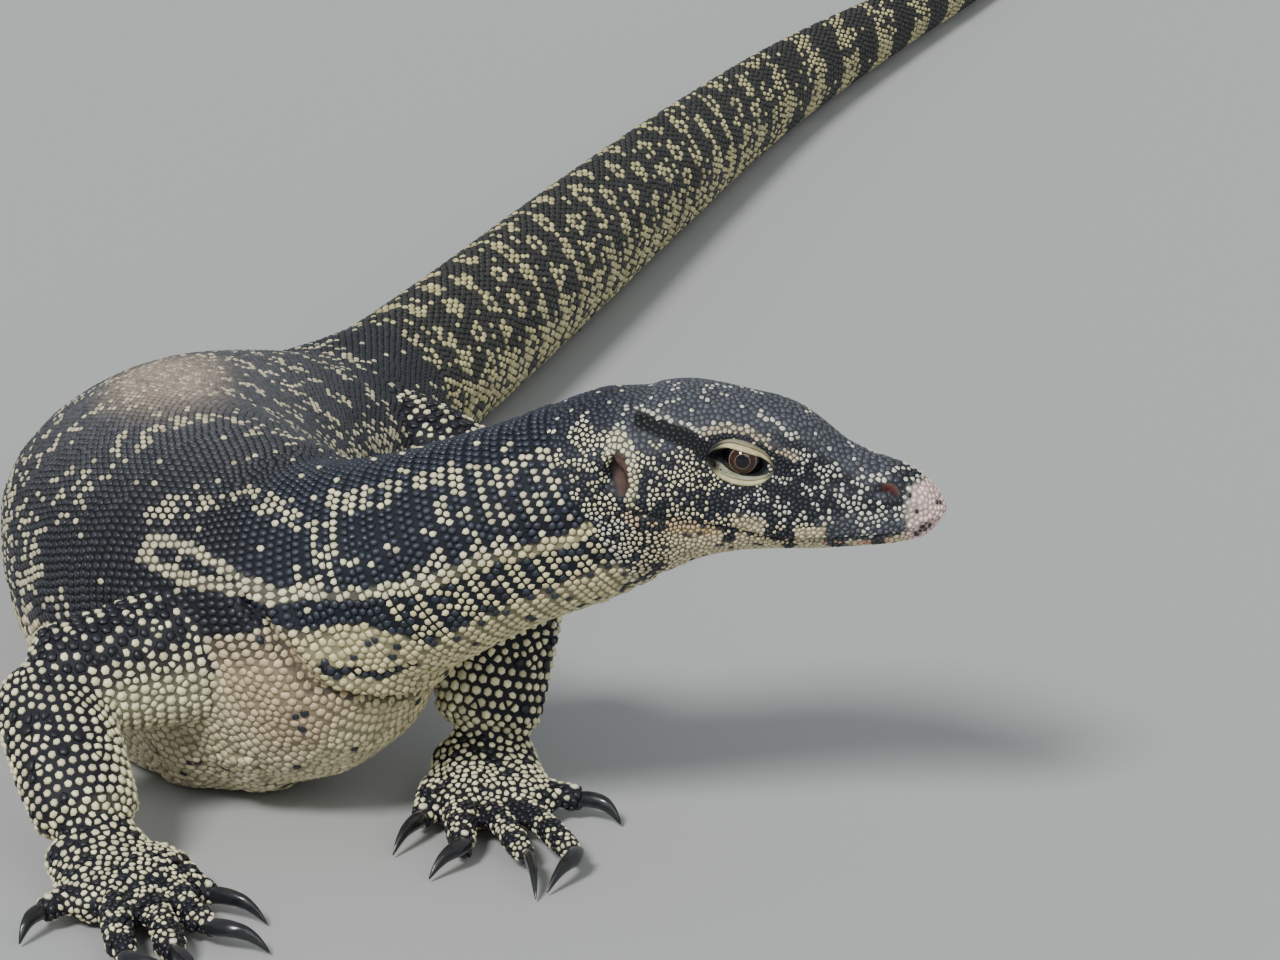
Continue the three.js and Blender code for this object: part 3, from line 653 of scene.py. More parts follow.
# Stations along the body, and the gap between rows or the width of a scale at each of them.
BODY_ROW_GAPS = ((115, 200, 300, 560, 650, 1000, 1590), (3.0, 3.0, 2.9, 2.9, 3.4, 3.9, 2.9))
WIDTH_STATIONS = (115, 215, 300, 600, 700, 1200, 1590)
TOP_WIDTHS = (2.8, 2.8, 2.6, 2.6, 2.8, 2.4, 1.6)
BELLY_WIDTHS = (2.7, 3.3, 3.9, 3.8, 3.1, 2.4, 1.6)
BODY_REACH, BODY_REACH_OVER = 1.35, 3
LIMB_ROW_GAP = 3.9
LIMB_WIDTH = 3.9
LIMB_OVERRUN = 1.12
LIMB_REACH = 34
LOWER_LIMB_ROWS = 200
ROW_CLEAR, LIMB_CLEAR = 0.7, 0.72
random = np.random.default_rng(SEED)
roots = {key: [] for key in ("place", "normal", "lie", "spacing", "set", "row", "column")}
cells = {}
CELL = 4.0
NORMAL_BLEND = 0.05
BODY_SET, HEAD_SET, FIRST_LIMB_SET = 0, 1, 2


def cell_of(place):
    return (int(place[0] // CELL), int(place[1] // CELL), int(place[2] // CELL))


def is_free(place, clear):
    """True where no root lies nearer than the clear distance."""
    x, y, z = cell_of(place)
    reach = clear * clear
    for i in (x - 1, x, x + 1):
        for j in (y - 1, y, y + 1):
            for k in (z - 1, z, z + 1):
                for other in cells.get((i, j, k), ()):
                    dx, dy, dz = other[0] - place[0], other[1] - place[1], other[2] - place[2]
                    if dx * dx + dy * dy + dz * dz < reach:
                        return False
    return True


def add_root(place, normal, lie, spacing, group, row=0, column=0):
    """Notes down one scale: where it grows, which way it stands and lies, and its size."""
    cells.setdefault(cell_of(place), []).append(tuple(place))
    for key, value in zip(roots, (place, normal, lie, spacing, group, row, column)):
        roots[key].append(value)


def face_normal(index, place):
    """The smooth normal of the skin at a place on one of its faces."""
    corners = skin_faces[index]
    away = ((skin_places[corners] - place) ** 2).sum(1) + NORMAL_BLEND
    normal = (skin_normals[corners] / away[:, None]).sum(0)
    return normal / np.linalg.norm(normal)


def skin_hit(centre, way, allowed, reach):
    """Where a ray out of the middle meets the skin, if that is one of the wanted parts."""
    hit = skin_tree.ray_cast(Vector(centre * MM), Vector(way), reach * MM)
    if hit[0] is None or skin_region[skin_faces[hit[2]][0]] not in allowed:
        return None
    return np.array(hit[0]) / MM, hit[2]


def add_row(centre, across, up, width_at, allowed, reach, lie, group, row, clear):
    """One row of scales round a middle line, spaced by width_at(angle)."""
    turns = np.arange(0, 360 + RAY_STEP, RAY_STEP)
    ways = np.sin(np.radians(turns))[:, None] * across + np.cos(np.radians(turns))[:, None] * up
    hits = [skin_hit(centre, way, allowed, reach) for way in ways]
    steps = np.zeros(len(turns) - 1)
    for index in range(len(turns) - 1):
        if hits[index] is not None and hits[index + 1] is not None:
            middle = turns[index] + RAY_STEP / 2
            length = np.linalg.norm(hits[index][0] - hits[index + 1][0])
            steps[index] = min(length, LONGEST_STEP) / width_at(middle)
    total = steps.sum()
    if total < 1:
        return
    count = max(int(round(total)), 1)
    wound = np.concatenate([[0], np.cumsum(steps)]) / total * count
    for column in range(count):
        shift = 0.5 * (row % 2)
        turn = np.interp((column + shift + random.normal(0, ROW_SHIVER)) % count, wound, turns)
        way = math.sin(math.radians(turn)) * across + math.cos(math.radians(turn)) * up
        hit = skin_hit(centre, way, allowed, reach)
        if hit is not None:
            width = width_at(turn)
            if is_free(hit[0], width * clear):
                add_root(hit[0], face_normal(hit[1], hit[0]), lie, width, group, row, column)


def body_width(distance, angle):
    """Width of a body scale: the belly's are broad plates and the back's are small."""
    side = min(angle, 360 - angle)
    top = np.interp(distance, WIDTH_STATIONS, TOP_WIDTHS)
    belly = np.interp(distance, WIDTH_STATIONS, BELLY_WIDTHS)
    return top + (belly - top) * fade(side, 85, 125)


body_numbers = {FLESH_NODES.index(name) for name in BODY_NODES}
distance = HEAD_LENGTH + FIRST_ROW_BEHIND_EARS
row = 0
while distance < TAIL_TIP:
    station = int(round(distance))
    add_row(
        body_line[station], line_side[station], line_rise[station],
        lambda turn: body_width(distance, turn), body_numbers,
        max(body_sizes(distance)) * BODY_REACH + BODY_REACH_OVER,
        line_along[station], BODY_SET, row, ROW_CLEAR,
    )
    distance += np.interp(distance, *BODY_ROW_GAPS)
    row += 1
for number, limb in enumerate(limbs):
    group = FIRST_LIMB_SET + number
    for part, (start, end) in enumerate([("root", "bend"), ("bend", "wrist")]):
        along = limb[end] - limb[start]
        length = np.linalg.norm(along)
        along /= length
        across = np.cross(along, (0, 0, 1))
        across /= np.linalg.norm(across)
        up = np.cross(across, along)
        allowed = {FLESH_NODES.index(name) for name in limb["nodes"][:2]}
        for row in range(int(length * LIMB_OVERRUN / LIMB_ROW_GAP)):
            centre = limb[start] + along * (row * LIMB_ROW_GAP)
            add_row(
                centre, across, up, lambda turn: LIMB_WIDTH, allowed, LIMB_REACH, along, group,
                row + LOWER_LIMB_ROWS * part, LIMB_CLEAR,
            )

# The head's and feet's small scales, and those that fill gaps: places drawn at random over the
# skin and kept where they are clear of the others.
HEAD_TRIES, FOOT_TRIES, FILL_TRIES = 90000, 26000, 260000
SCATTER_CLEAR, FILL_CLEAR = 0.8, 2.45
HEAD_WIDTH, CROWN_WIDER, SNOUT_WIDER, EYE_FINER, THROAT_WIDER = 1.62, 0.4, 0.2, 0.3, 0.5
LID_SQUASH = 0.62
LIDS_CLEAR, NOSTRIL_CLEAR, EAR_CLEAR = 1.0, 1.25, 1.12
LIDS_OUT, NOSTRIL_OUT, EAR_OUT = 6, 4, 12
FOOT_WIDTHS = ((0, 25, 45, 80), (3.3, 2.9, 2.4, 2.2))
DIGIT_REACH, DIGIT_BEGINS = 9.0, 2
SHIELD_ROW = -1
SHIELD_WIDTH, SHIELD_CLEAR, SHIELD_BACK = 4.6, 3.2, 4.5
SHIELD_RAY = 14
FILL_WIDTH = 2.7
FILLED_END = 1300
shields = []
triangles = [
    (face[0], face[step], face[step + 1]) for face in skin_faces for step in range(1, len(face) - 1)
]
triangles = np.array(triangles)
triangle_region = skin_region[triangles[:, 0]]
corners = skin_places[triangles]
triangle_area = np.linalg.norm(
    np.cross(corners[:, 1] - corners[:, 0], corners[:, 2] - corners[:, 0]), axis=1
) / 2


def scattered(chosen, count):
    """Random places, and their normals, over the chosen triangles."""
    chosen = np.flatnonzero(chosen)
    weights = triangle_area[chosen] / triangle_area[chosen].sum()
    picked = triangles[random.choice(chosen, count, p=weights)]
    shares = random.dirichlet((1, 1, 1), count)
    places = (skin_places[picked] * shares[:, :, None]).sum(1)
    normals = (skin_normals[picked] * shares[:, :, None]).sum(1)
    return places, normals / np.linalg.norm(normals, axis=1)[:, None]


def head_spacing(ahead, above, upward):
    """Spacing of the head's scales: larger on the crown and snout, smallest by the eye."""
    width = HEAD_WIDTH + CROWN_WIDER * fade(upward, 0.45, 0.85)
    width += SNOUT_WIDER * fade(ahead, 55, 80)
    near_eye = np.hypot((ahead - EYE_CENTRE[0]) / 20, (above - 5) / 12)
    width -= EYE_FINER * fall(near_eye, 0.7, 1.2) * fall(upward, 0.4, 0.8)
    width += THROAT_WIDER * fade(-above, 16, 40)
    return width


def outside_openings(ahead, out, above):
    """False inside the eye slits with their lids, the nostrils and the ears."""
    squashed = (above - EYE_CENTRE[2]) * LID_SQUASH + EYE_CENTRE[2]
    lids = (slit_share(ahead, squashed) < LIDS_CLEAR) & (np.abs(out) > LIDS_OUT)
    nostril = (pit_share(ahead, above, NOSTRIL) < NOSTRIL_CLEAR) & (np.abs(out) > NOSTRIL_OUT)
    ear = (pit_share(ahead, above, EAR) < EAR_CLEAR) & (np.abs(out) > EAR_OUT)
    return ~(lids | nostril | ear)


def scatter_head():
    """Small close scales over the whole head but its openings."""
    chosen = triangle_region < len(HEAD_NODES)
    places, normals = scattered(chosen, HEAD_TRIES)
    ahead, out, above = head_coordinates(places)
    widths = head_spacing(ahead, above, normals @ HEAD_UP)
    kept = outside_openings(ahead, out, above)
    for place, normal, width, wanted in zip(places, normals, widths, kept):
        if wanted and is_free(place, width * SCATTER_CLEAR):
            add_root(place, normal, -HEAD_FORWARD, width, HEAD_SET)


def foot_lie(limb, place):
    """Along the nearest digit, or towards the digits over the palm."""
    best, lie = DIGIT_REACH, limb["forward"]
    for start, way, length in limb["digits"]:
        share = np.clip((place - start) @ way, 0, length)
        away = place - start - way * share
        away[2] = 0
        if share > DIGIT_BEGINS and np.linalg.norm(away) < best:
            best, lie = np.linalg.norm(away), way
    return lie


def add_claw_shields(limb, group):
    """The one large scale on top of each digit's end, over the root of its claw."""
    for start, way, length in limb["digits"]:
        above_end = start + way * (length - SHIELD_BACK) + np.array((0, 0, SHIELD_RAY))
        hit = skin_tree.ray_cast(Vector(above_end * MM), Vector((0, 0, -1)))
        if hit[0] is not None:
            spot = np.array(hit[0]) / MM
            add_root(spot, face_normal(hit[2], spot), way, SHIELD_WIDTH, group, SHIELD_ROW)
            shields.append(spot)


def clear_of_shields(place):
    return all(np.linalg.norm(place - shield) > SHIELD_CLEAR for shield in shields)


def scatter_feet():
    """Small scales over the feet, largest by the wrist, round one large one at each claw."""
    for number, limb in enumerate(limbs):
        add_claw_shields(limb, FIRST_LIMB_SET + number)
        chosen = triangle_region == FLESH_NODES.index(limb["nodes"][2])
        places, normals = scattered(chosen, FOOT_TRIES)
        for place, normal in zip(places, normals):
            reach = (place - limb["wrist"]) @ limb["forward"]
            width = np.interp(reach, *FOOT_WIDTHS)
            if is_free(place, width * SCATTER_CLEAR) and clear_of_shields(place):
                lie = foot_lie(limb, place)
                add_root(place, normal, lie, width, FIRST_LIMB_SET + number)


def fill_gaps():
    """A scale wherever the rows leave a hole, which counts with the body or its own leg."""
    chosen = triangle_region >= len(HEAD_NODES)
    places, normals = scattered(chosen, FILL_TRIES)
    for place, normal in zip(places, normals):
        if is_free(place, FILL_CLEAR):
            region = nearest_nodes(place[None])[0]
            station = int(body_coordinates(place[None])[0][0])
            name = FLESH_NODES[region]
            group, lie = BODY_SET, line_along[station]
            for number, limb in enumerate(limbs):
                if name in limb["nodes"]:
                    group, lie = FIRST_LIMB_SET + number, limb["wrist"] - limb["root"]
            if station < FILLED_END:
                add_root(place, normal, lie, FILL_WIDTH, group)


scatter_head()
scatter_feet()
fill_gaps()
place = np.array(roots["place"])
normal = np.array(roots["normal"])
lie = np.array(roots["lie"])
spacing = np.array(roots["spacing"])
group = np.array(roots["set"])
row = np.array(roots["row"])
column = np.array(roots["column"])
lie = lie - normal * (lie * normal).sum(1)[:, None]
lie /= np.maximum(np.linalg.norm(lie, axis=1), 1e-6)[:, None]
sideways = np.cross(normal, lie)

# Each scale's outline comes from its neighbours: in every direction it reaches half way to
# the nearest of them, less a thin gap, so that the scales fit together as real ones do.
NEIGHBOURS = 8
SIDES = 6
LEAST_FACING = 0.12
WIDEST_SHARE = 0.8
FITTED_SHARE, THIN_GAP = 0.97, 0.05

tree = KDTree(len(place))
for index, spot in enumerate(place):
    tree.insert(spot, index)
tree.balance()
beside = np.array([[found[1] for found in tree.find_n(spot, NEIGHBOURS + 1)][1:] for spot in place])
offset = place[beside] - place[:, None]
reach = np.linalg.norm(offset, axis=2)
flat_ahead = (offset * lie[:, None]).sum(2)
flat_side = (offset * sideways[:, None]).sum(2)
bearing = np.arctan2(flat_side, flat_ahead)
directions = 2 * math.pi * np.arange(SIDES) / SIDES
limit = np.empty((len(place), SIDES))
for k, direction in enumerate(directions):
    facing = np.maximum(np.cos(direction - bearing), LEAST_FACING)
    limit[:, k] = (reach / 2 / facing).min(1)
limit = np.minimum(limit, spacing[:, None] * WIDEST_SHARE)
outline = limit * FITTED_SHARE - THIN_GAP

# Markings, settled scale by scale: each place has a chance of being a pale scale, and a dark
# and a pale colour to choose from. The skin between the scales takes a share of the same two.
FLANK_STRIPE = [
    (112, 104), (125, 106), (140, 101), (150, 97.5), (167, 97.5), (177, 93.5), (185, 92), (193, 88),
    (200, 82), (208, 82), (213, 80.5), (227, 74.5), (239, 72.5), (256, 70),
]
FLANK_HOOK = [(256, 70), (256, 61), (240, 61), (228, 65), (219, 71), (210, 80)]
NECK_BAND = [
    (221, 27), (214, 38), (204, 45), (195, 49), (189, 39.5), (179, 36), (168, 37), (158, 37),
    (148, 41), (135, 46), (122, 52), (112, 58),
]
NECK_BAND_END = [(260, 56), (257, 47), (248, 44), (240, 38), (232, 33), (221, 27)]
NECK_BAR = [(193, 53), (192, 65), (196, 75), (201, 80)]
UNDER_STRIPE = [(210, 86), (205, 93), (195, 96), (187, 101), (183, 112)]
POUCH_LINE = [(205, 120.5), (201, 127.7), (197, 139.6), (189, 143.4)]
# A stripe of the body: its path, half width, soft edge and chance of pale scales.
BODY_STRIPES = [
    (UNDER_STRIPE, 3.2, 1.5, 0.04), (POUCH_LINE, 1.3, 1.2, 0.2), (NECK_BAND, 2.4, 3.5, 0.72),
    (NECK_BAND_END, 2.4, 3.5, 0.6), (NECK_BAR, 2.4, 3.5, 0.6), (FLANK_STRIPE, 1.9, 1.3, 0.98),
    (FLANK_HOOK, 1.9, 1.3, 0.98),
]
# A patch: from and to along the body, from and to round it, two soft edges, and the chance.
NECK_PATCHES = [(104, 170, 50, 92, 6, 8, 0.58)]
FLANK_PATCHES = [(285, 600, 78, 105, 14, 14, 0.42)]
CHEST_PATCHES = [(214, 262, 92, 180, 8, 6, 0.96), (218, 236, 84, 96, 4, 4, 0.6)]
SHOULDER_PATCHES = [
    (158, 186, 50, 84, 5, 6, 0.13), (196, 262, 44, 64, 5, 5, 0.01),
    (198, 226, 60, 76, 4, 4, 0.01), (218, 300, 76, 92, 4, 4, 0.02),
    (184, 210, 100, 150, 5, 6, 0.95), (208, 240, 97, 180, 4, 5, 0.985),
]
# The crease behind the throat, which is warmer in colour.
CREASE_PATCH = (212, 228, 100, 146, 6, 10)
BACK_CHANCE, RING_CHANCE, BELLY_CHANCE = 0.05, 0.62, 0.985
THROAT_CHANCE, THROAT_MORE = 0.62, 0.3
NECK_ENDS, TAIL_BEGINS = (205, 235), (590, 620)
RINGS_BEGIN, BELLY_BEGINS = (240, 262), (205, 225)
BELLY_EDGE, THROAT_EDGE, THROAT_MIDDLE, TAIL_UNDERSIDE = (104, 116), (94, 104), (118, 140), (72, 92)
# An oval patch: its middle along the body and round it, and its reach both ways.
DRY_PATCH = (366, 5, 66, 27)
DRY_DARK, DRY_PALE, DRY_WORN, DRY_CHANCE = 0.8, 0.5, 0.7, 0.2
# The greyer oval over the top of the back is partly dust and partly a painted sky sheen.
DUST_AND_SHEEN_BACK = (385, 0, 150, 66)
DUST_AND_SHEEN_SHARE, CREASE_SHARE = 0.75, 0.5
TRUNK_ROWS = (300, 343, 388, 432, 478, 522, 563)
ROW_LEAN, FIRST_ROW_LEAN, LATER_ROW_LEAN = 46, 1.0, 0.3
# Rings of pale scales: from one to the next round the body, their radius and their line's width.
TRUNK_RING = (17, 5.8, 3.4)
RING_DRIFT_ROUND, RING_DRIFT_ALONG = 3, 5
TAIL_ROWS_FROM, TAIL_ROW_GAP = 612, 23
TAIL_RING = (14, 3.5, 3.0)
TAIL_SPECK = (14, 0.4, 2.4)
SPECK_SHARE = 0.9
TAIL_FLOWERS_END = (1030, 1130)
TAIL_BANDS_FROM, TAIL_BAND_GAP = 1000, 46
# The least chance of pale scales, and how much more there is within a marking.
TAIL_ABOVE, TAIL_BELOW, TAIL_BANDED = (0.025, 0.9), (0.45, 0.45), (0.04, 0.84)
TEMPLE_STRIPE = [(32, 7), (30, 8), (25, 11), (18.7, 12.8), (13, 14), (7.5, 14.6)]
TEMPLE_LINE = [(6, 16.6), (13.4, 16.5), (19, 15.8), (24.5, 14.6), (28, 13.8)]
BROW_ROW = [(29.3, 13.8), (33.6, 14.9), (38, 15.3), (42.8, 14.5), (47.6, 12.2), (52.3, 9.8), (57, 8)]
BROW_DASHES = [(31, 12.4), (38, 13.8), (42.5, 13), (47, 10.7), (52, 8.2), (56, 6.4)]
CROWN_STREAK = [(42.6, 19.8), (46, 18.7), (51, 16.6), (53.6, 14.7), (58.9, 12.9)]
NOSE_MARK = [(82.5, 2.6), (86, 2.6)]
# The head's own stripes and patches, told in the same way in millimetres ahead of the ears and
# above them. Those of the lips are told by their height over the line of the mouth.
HEAD_STRIPES = {
    "temple": (TEMPLE_STRIPE, 2.0, 0.7, 0.0), "temple line": (TEMPLE_LINE, 0.6, 0.7, 0.9),
    "brow": (BROW_ROW, 1.3, 0.8, 0.93), "brow dashes": (BROW_DASHES, 0.5, 0.6, 0.12),
}
SNOUT_STRIPES = [(CROWN_STREAK, 0.7, 0.8, 0.85), (NOSE_MARK, 0.9, 1, 0.85)]
CHEEK_PATCHES = [
    (6, 34, -3, 9, 5, 3, 0.80), (8, 40, -10, -5, 5, 2, 0.38), (46, 92, -12, 5, 6, 4, 0.50),
]
NAPE_PATCH = (-22, -8, -30, 24, 6, 6)
EAR_PATCHES = [(-14, -1, -14, 9, 3, 3, 0.72)]
LIP_PATCHES = [
    (41, 50, 1, 6.5, 1.5, 1, 0.96), (60, 69, 0, 5.5, 1, 1, 0.96),
    (51, 59, 0, 4, 1, 1, 0.25), (70, 80, 0, 4.5, 1, 1, 0.15),
]
SLATE_LIP = (68, 92, 0, 8, 3, 3)
WARM_LIP = (36, 72, -3, 6, 3, 2)
WARM_CHEEK = (-16, 34, -14, 10, 4, 3)
LIP_BARS = ((39.5, 1.6), (57.6, 1.1), (72.5, 2.0), (86, 1.7))
LIP_BAR_HEIGHT = (-4.5, -0.2, 0.6, 0.6)
MOUTH_CORNER = [(10, -1.5), (34, -1.5)]
FLUSHES = ([(70, -1.5), (73, -2)], [(81, -2.2), (88, -2.4)])
HEAD_CHANCE, CROWN_CHANCE, NAPE_CHANCE, LIP_CHANCE, UNDER_CHANCE = 0.52, 0.10, 0.12, 0.94, 0.76
LIP_BAR_CHANCE, EAR_RIM_CHANCE, TIP_CHANCE = 0.1, 0.95, 0.93
SNOUT_TIP = ((93.5, 97), (0.5, 2.5))
# The same two for the legs, and the range of the inner side over which it grows.
UPPER_LIMB, LOWER_LIMB, FOOT_CHANCE = (0.34, 0.64, 0.3, 0.75), (0.66, 0.33, 0.15, 0.6), 0.86
DIGIT_BANDS, DIGIT_BAND_GAP, DIGIT_BAND_SHIFT = (0.12, 0.62, 0.35, 0.75), 10, 2.6
DIGIT_MARKED, DIGIT_HALF = 6, 7.5
SOLE_CHANCE = 0.95
PATCH_SIZE, PATCH_PULL = 4.2, 1.1
BEAD_PULL, BEAD_CHANCE = 0.75, 0.3
SHADE_SPREAD = 0.16
COLOURS = {
    "neck dark": (0.020, 0.025, 0.038), "trunk dark": (0.016, 0.018, 0.024),
    "tail dark": (0.024, 0.025, 0.022), "limb dark": (0.010, 0.011, 0.016),
    "neck pale": (0.70, 0.65, 0.43), "trunk pale": (0.56, 0.51, 0.34),
    "tail pale": (0.52, 0.47, 0.24), "limb pale": (0.76, 0.72, 0.46),
    "belly pale": (0.60, 0.53, 0.34), "throat pale": (0.64, 0.57, 0.32),
    "crease": (0.50, 0.33, 0.22), "dry hide": (0.37, 0.29, 0.22), "dust_and_sheen": (0.085, 0.088, 0.096),
    "head pale": (0.62, 0.60, 0.50), "head dark": (0.018, 0.021, 0.029),
    "lip pale": (0.66, 0.57, 0.36), "orange": (0.50, 0.27, 0.10), "tip": (0.84, 0.62, 0.56),
    "flush": (0.66, 0.22, 0.16), "black": (0.004, 0.005, 0.006), "shield": (0.74, 0.70, 0.52),
    "brow": (0.52, 0.43, 0.30), "slate": (0.078, 0.086, 0.102),
    "ear cup": (0.085, 0.052, 0.042), "nostril": (0.10, 0.035, 0.030),
}
COLOURS = {name: np.array(colour) for name, colour in COLOURS.items()}


def zone(first, second, low1, high1, low2, high2, soft1, soft2):
    """1 within both ranges, fading to 0 over the soft widths outside them."""
    return (
        fade(first, low1 - soft1, low1) * fall(first, high1, high1 + soft1)
        * fade(second, low2 - soft2, low2) * fall(second, high2, high2 + soft2)
    )


def near_path(first, second, path, half_width, soft):
    """1 on a stripe along this path, fading to 0 beyond its half width."""
    return fall(distance_to_path(first, second, path), half_width, half_width + soft)


def jitter(first, second):
    """A steady number from 0 to 1 for each pair of whole numbers."""
    return np.modf(np.abs(np.sin(first * 12.9898 + second * 78.233) * 43758.5453))[0]


def rings(along, arc, row_number, row_place, size):
    """Rings of pale scales side by side round the body, each a little out of place."""
    pitch, radius, line = size
    turn = arc / pitch + 0.5 * (row_number % 2)
    count = np.round(turn)
    centre = (count - 0.5 * (row_number % 2)) * pitch
    centre = centre + (jitter(row_number, count) - 0.5) * RING_DRIFT_ROUND
    shift = (jitter(count, row_number + 7) - 0.5) * RING_DRIFT_ALONG
    away = np.hypot(along - row_place - shift, arc - centre)
    radius = radius * (0.8 + 0.4 * jitter(row_number + 3, count))
    return fall(np.abs(away - radius), line / 2, line / 2 + 1.2)


def painted(base, mask, value):
    """The base, turned into the value where the mask is 1."""
    return base + (value - base) * mask


def tinted(base, mask, colour):
    """Rows of colours, turned into the named colour where the mask is 1."""
    return base + (COLOURS[colour] - base) * np.asarray(mask)[:, None]


def patched(chance, first, second, patches):
    """The chance, with that of each patch laid over it."""
    for *place, share in patches:
        chance = painted(chance, zone(first, second, *place), share)
    return chance


def oval(along, angle, patch):
    """1 in the middle of an oval patch on the back, fading to 0 at its edge."""
    centre, middle, reach_along, reach_round = patch
    away = np.hypot((along - centre) / reach_along, (angle - middle) / reach_round)
    return fall(away, 0.4, 1.3)


def tail_chance(distance, side, arc):
    """The tail's rows of rings and specks, which turn into whole bands towards its tip."""
    row_number = np.round((distance - TAIL_ROWS_FROM) / TAIL_ROW_GAP)
    row_place = TAIL_ROWS_FROM + row_number * TAIL_ROW_GAP
    flowers = rings(distance, arc, row_number, row_place, TAIL_RING)
    half_way = row_place + TAIL_ROW_GAP / 2 * np.sign(distance - row_place)
    specks = rings(distance, arc + TAIL_RING[0] / 2, row_number, half_way, TAIL_SPECK)
    flowers = np.maximum(flowers, SPECK_SHARE * specks)
    under = fade(side, *TAIL_UNDERSIDE)
    bars = 0.5 + 0.5 * np.cos((distance - TAIL_ROWS_FROM) * 2 * math.pi / TAIL_ROW_GAP)
    bands = np.cos((distance - TAIL_BANDS_FROM) * 2 * math.pi / TAIL_BAND_GAP)
    bands = fade(bands, -0.2, 0.35)
    above = TAIL_ABOVE[0] + TAIL_ABOVE[1] * flowers
    below = TAIL_BELOW[0] + TAIL_BELOW[1] * bars
    banded = TAIL_BANDED[0] + TAIL_BANDED[1] * bands * (0.75 + 0.25 * under)
    return painted(painted(above, under, below), fade(distance, *TAIL_FLOWERS_END), banded)


def body_marks(distance, angle):
    """Chance of a pale scale, dark colour and pale colour over the body and tail."""
    side = np.abs(angle)
    arc = np.radians(angle) * girth_radius(distance)
    far = np.abs(arc)
    chance = np.full(len(distance), BACK_CHANCE)
    near_head = fall(distance, *NECK_ENDS)
    in_tail = fade(distance, *TAIL_BEGINS)
    chance = patched(chance, distance, side, NECK_PATCHES)
    for row_place in TRUNK_ROWS:
        lean = FIRST_ROW_LEAN if row_place == TRUNK_ROWS[0] else LATER_ROW_LEAN
        lean = -lean * ROW_LEAN * fade(-angle, -22, 45)
        ring = rings(distance, arc, row_place, row_place + lean, TRUNK_RING)
        chance = painted(chance, ring * (1 - in_tail) * fade(distance, *RINGS_BEGIN), RING_CHANCE)
    chance = patched(chance, distance, side, FLANK_PATCHES)
    belly = fade(side, *BELLY_EDGE) * fade(distance, *BELLY_BEGINS) * (1 - in_tail)
    chance = painted(chance, belly, BELLY_CHANCE)
    chance = patched(chance, distance, side, CHEST_PATCHES)
    throat = fade(side, *THROAT_EDGE) * near_head
    chance = painted(chance, throat, THROAT_CHANCE + THROAT_MORE * fade(side, *THROAT_MIDDLE))
    chance = patched(chance, distance, side, SHOULDER_PATCHES)
    for path, half_width, soft, share in BODY_STRIPES:
        stripe = near_path(distance, far, on_hide(path), half_width, soft)
        chance = painted(chance, stripe, share)
    chance = painted(chance, in_tail, tail_chance(distance, side, arc))
    dark = np.tile(COLOURS["trunk dark"], (len(distance), 1))
    dark = tinted(dark, near_head, "neck dark")
    dark = tinted(dark, in_tail, "tail dark")
    pale = np.tile(COLOURS["trunk pale"], (len(distance), 1))
    pale = tinted(pale, near_head, "neck pale")
    pale = tinted(pale, belly, "belly pale")
    pale = tinted(pale, throat, "throat pale")
    pale = tinted(pale, in_tail, "tail pale")
    pale = tinted(pale, zone(distance, side, *CREASE_PATCH) * CREASE_SHARE, "crease")
    # A greyer tint over the top of the back: partly dust, partly a painted sky sheen.
    dark = tinted(dark, oval(distance, angle, DUST_AND_SHEEN_BACK) * DUST_AND_SHEEN_SHARE, "dust_and_sheen")
    worn = oval(distance, angle, DRY_PATCH)
    dark = tinted(dark, worn * DRY_DARK, "dry hide")
    pale = tinted(pale, worn * DRY_PALE, "dry hide")
    chance = painted(chance, worn * DRY_WORN, DRY_CHANCE)
    return chance, dark, pale


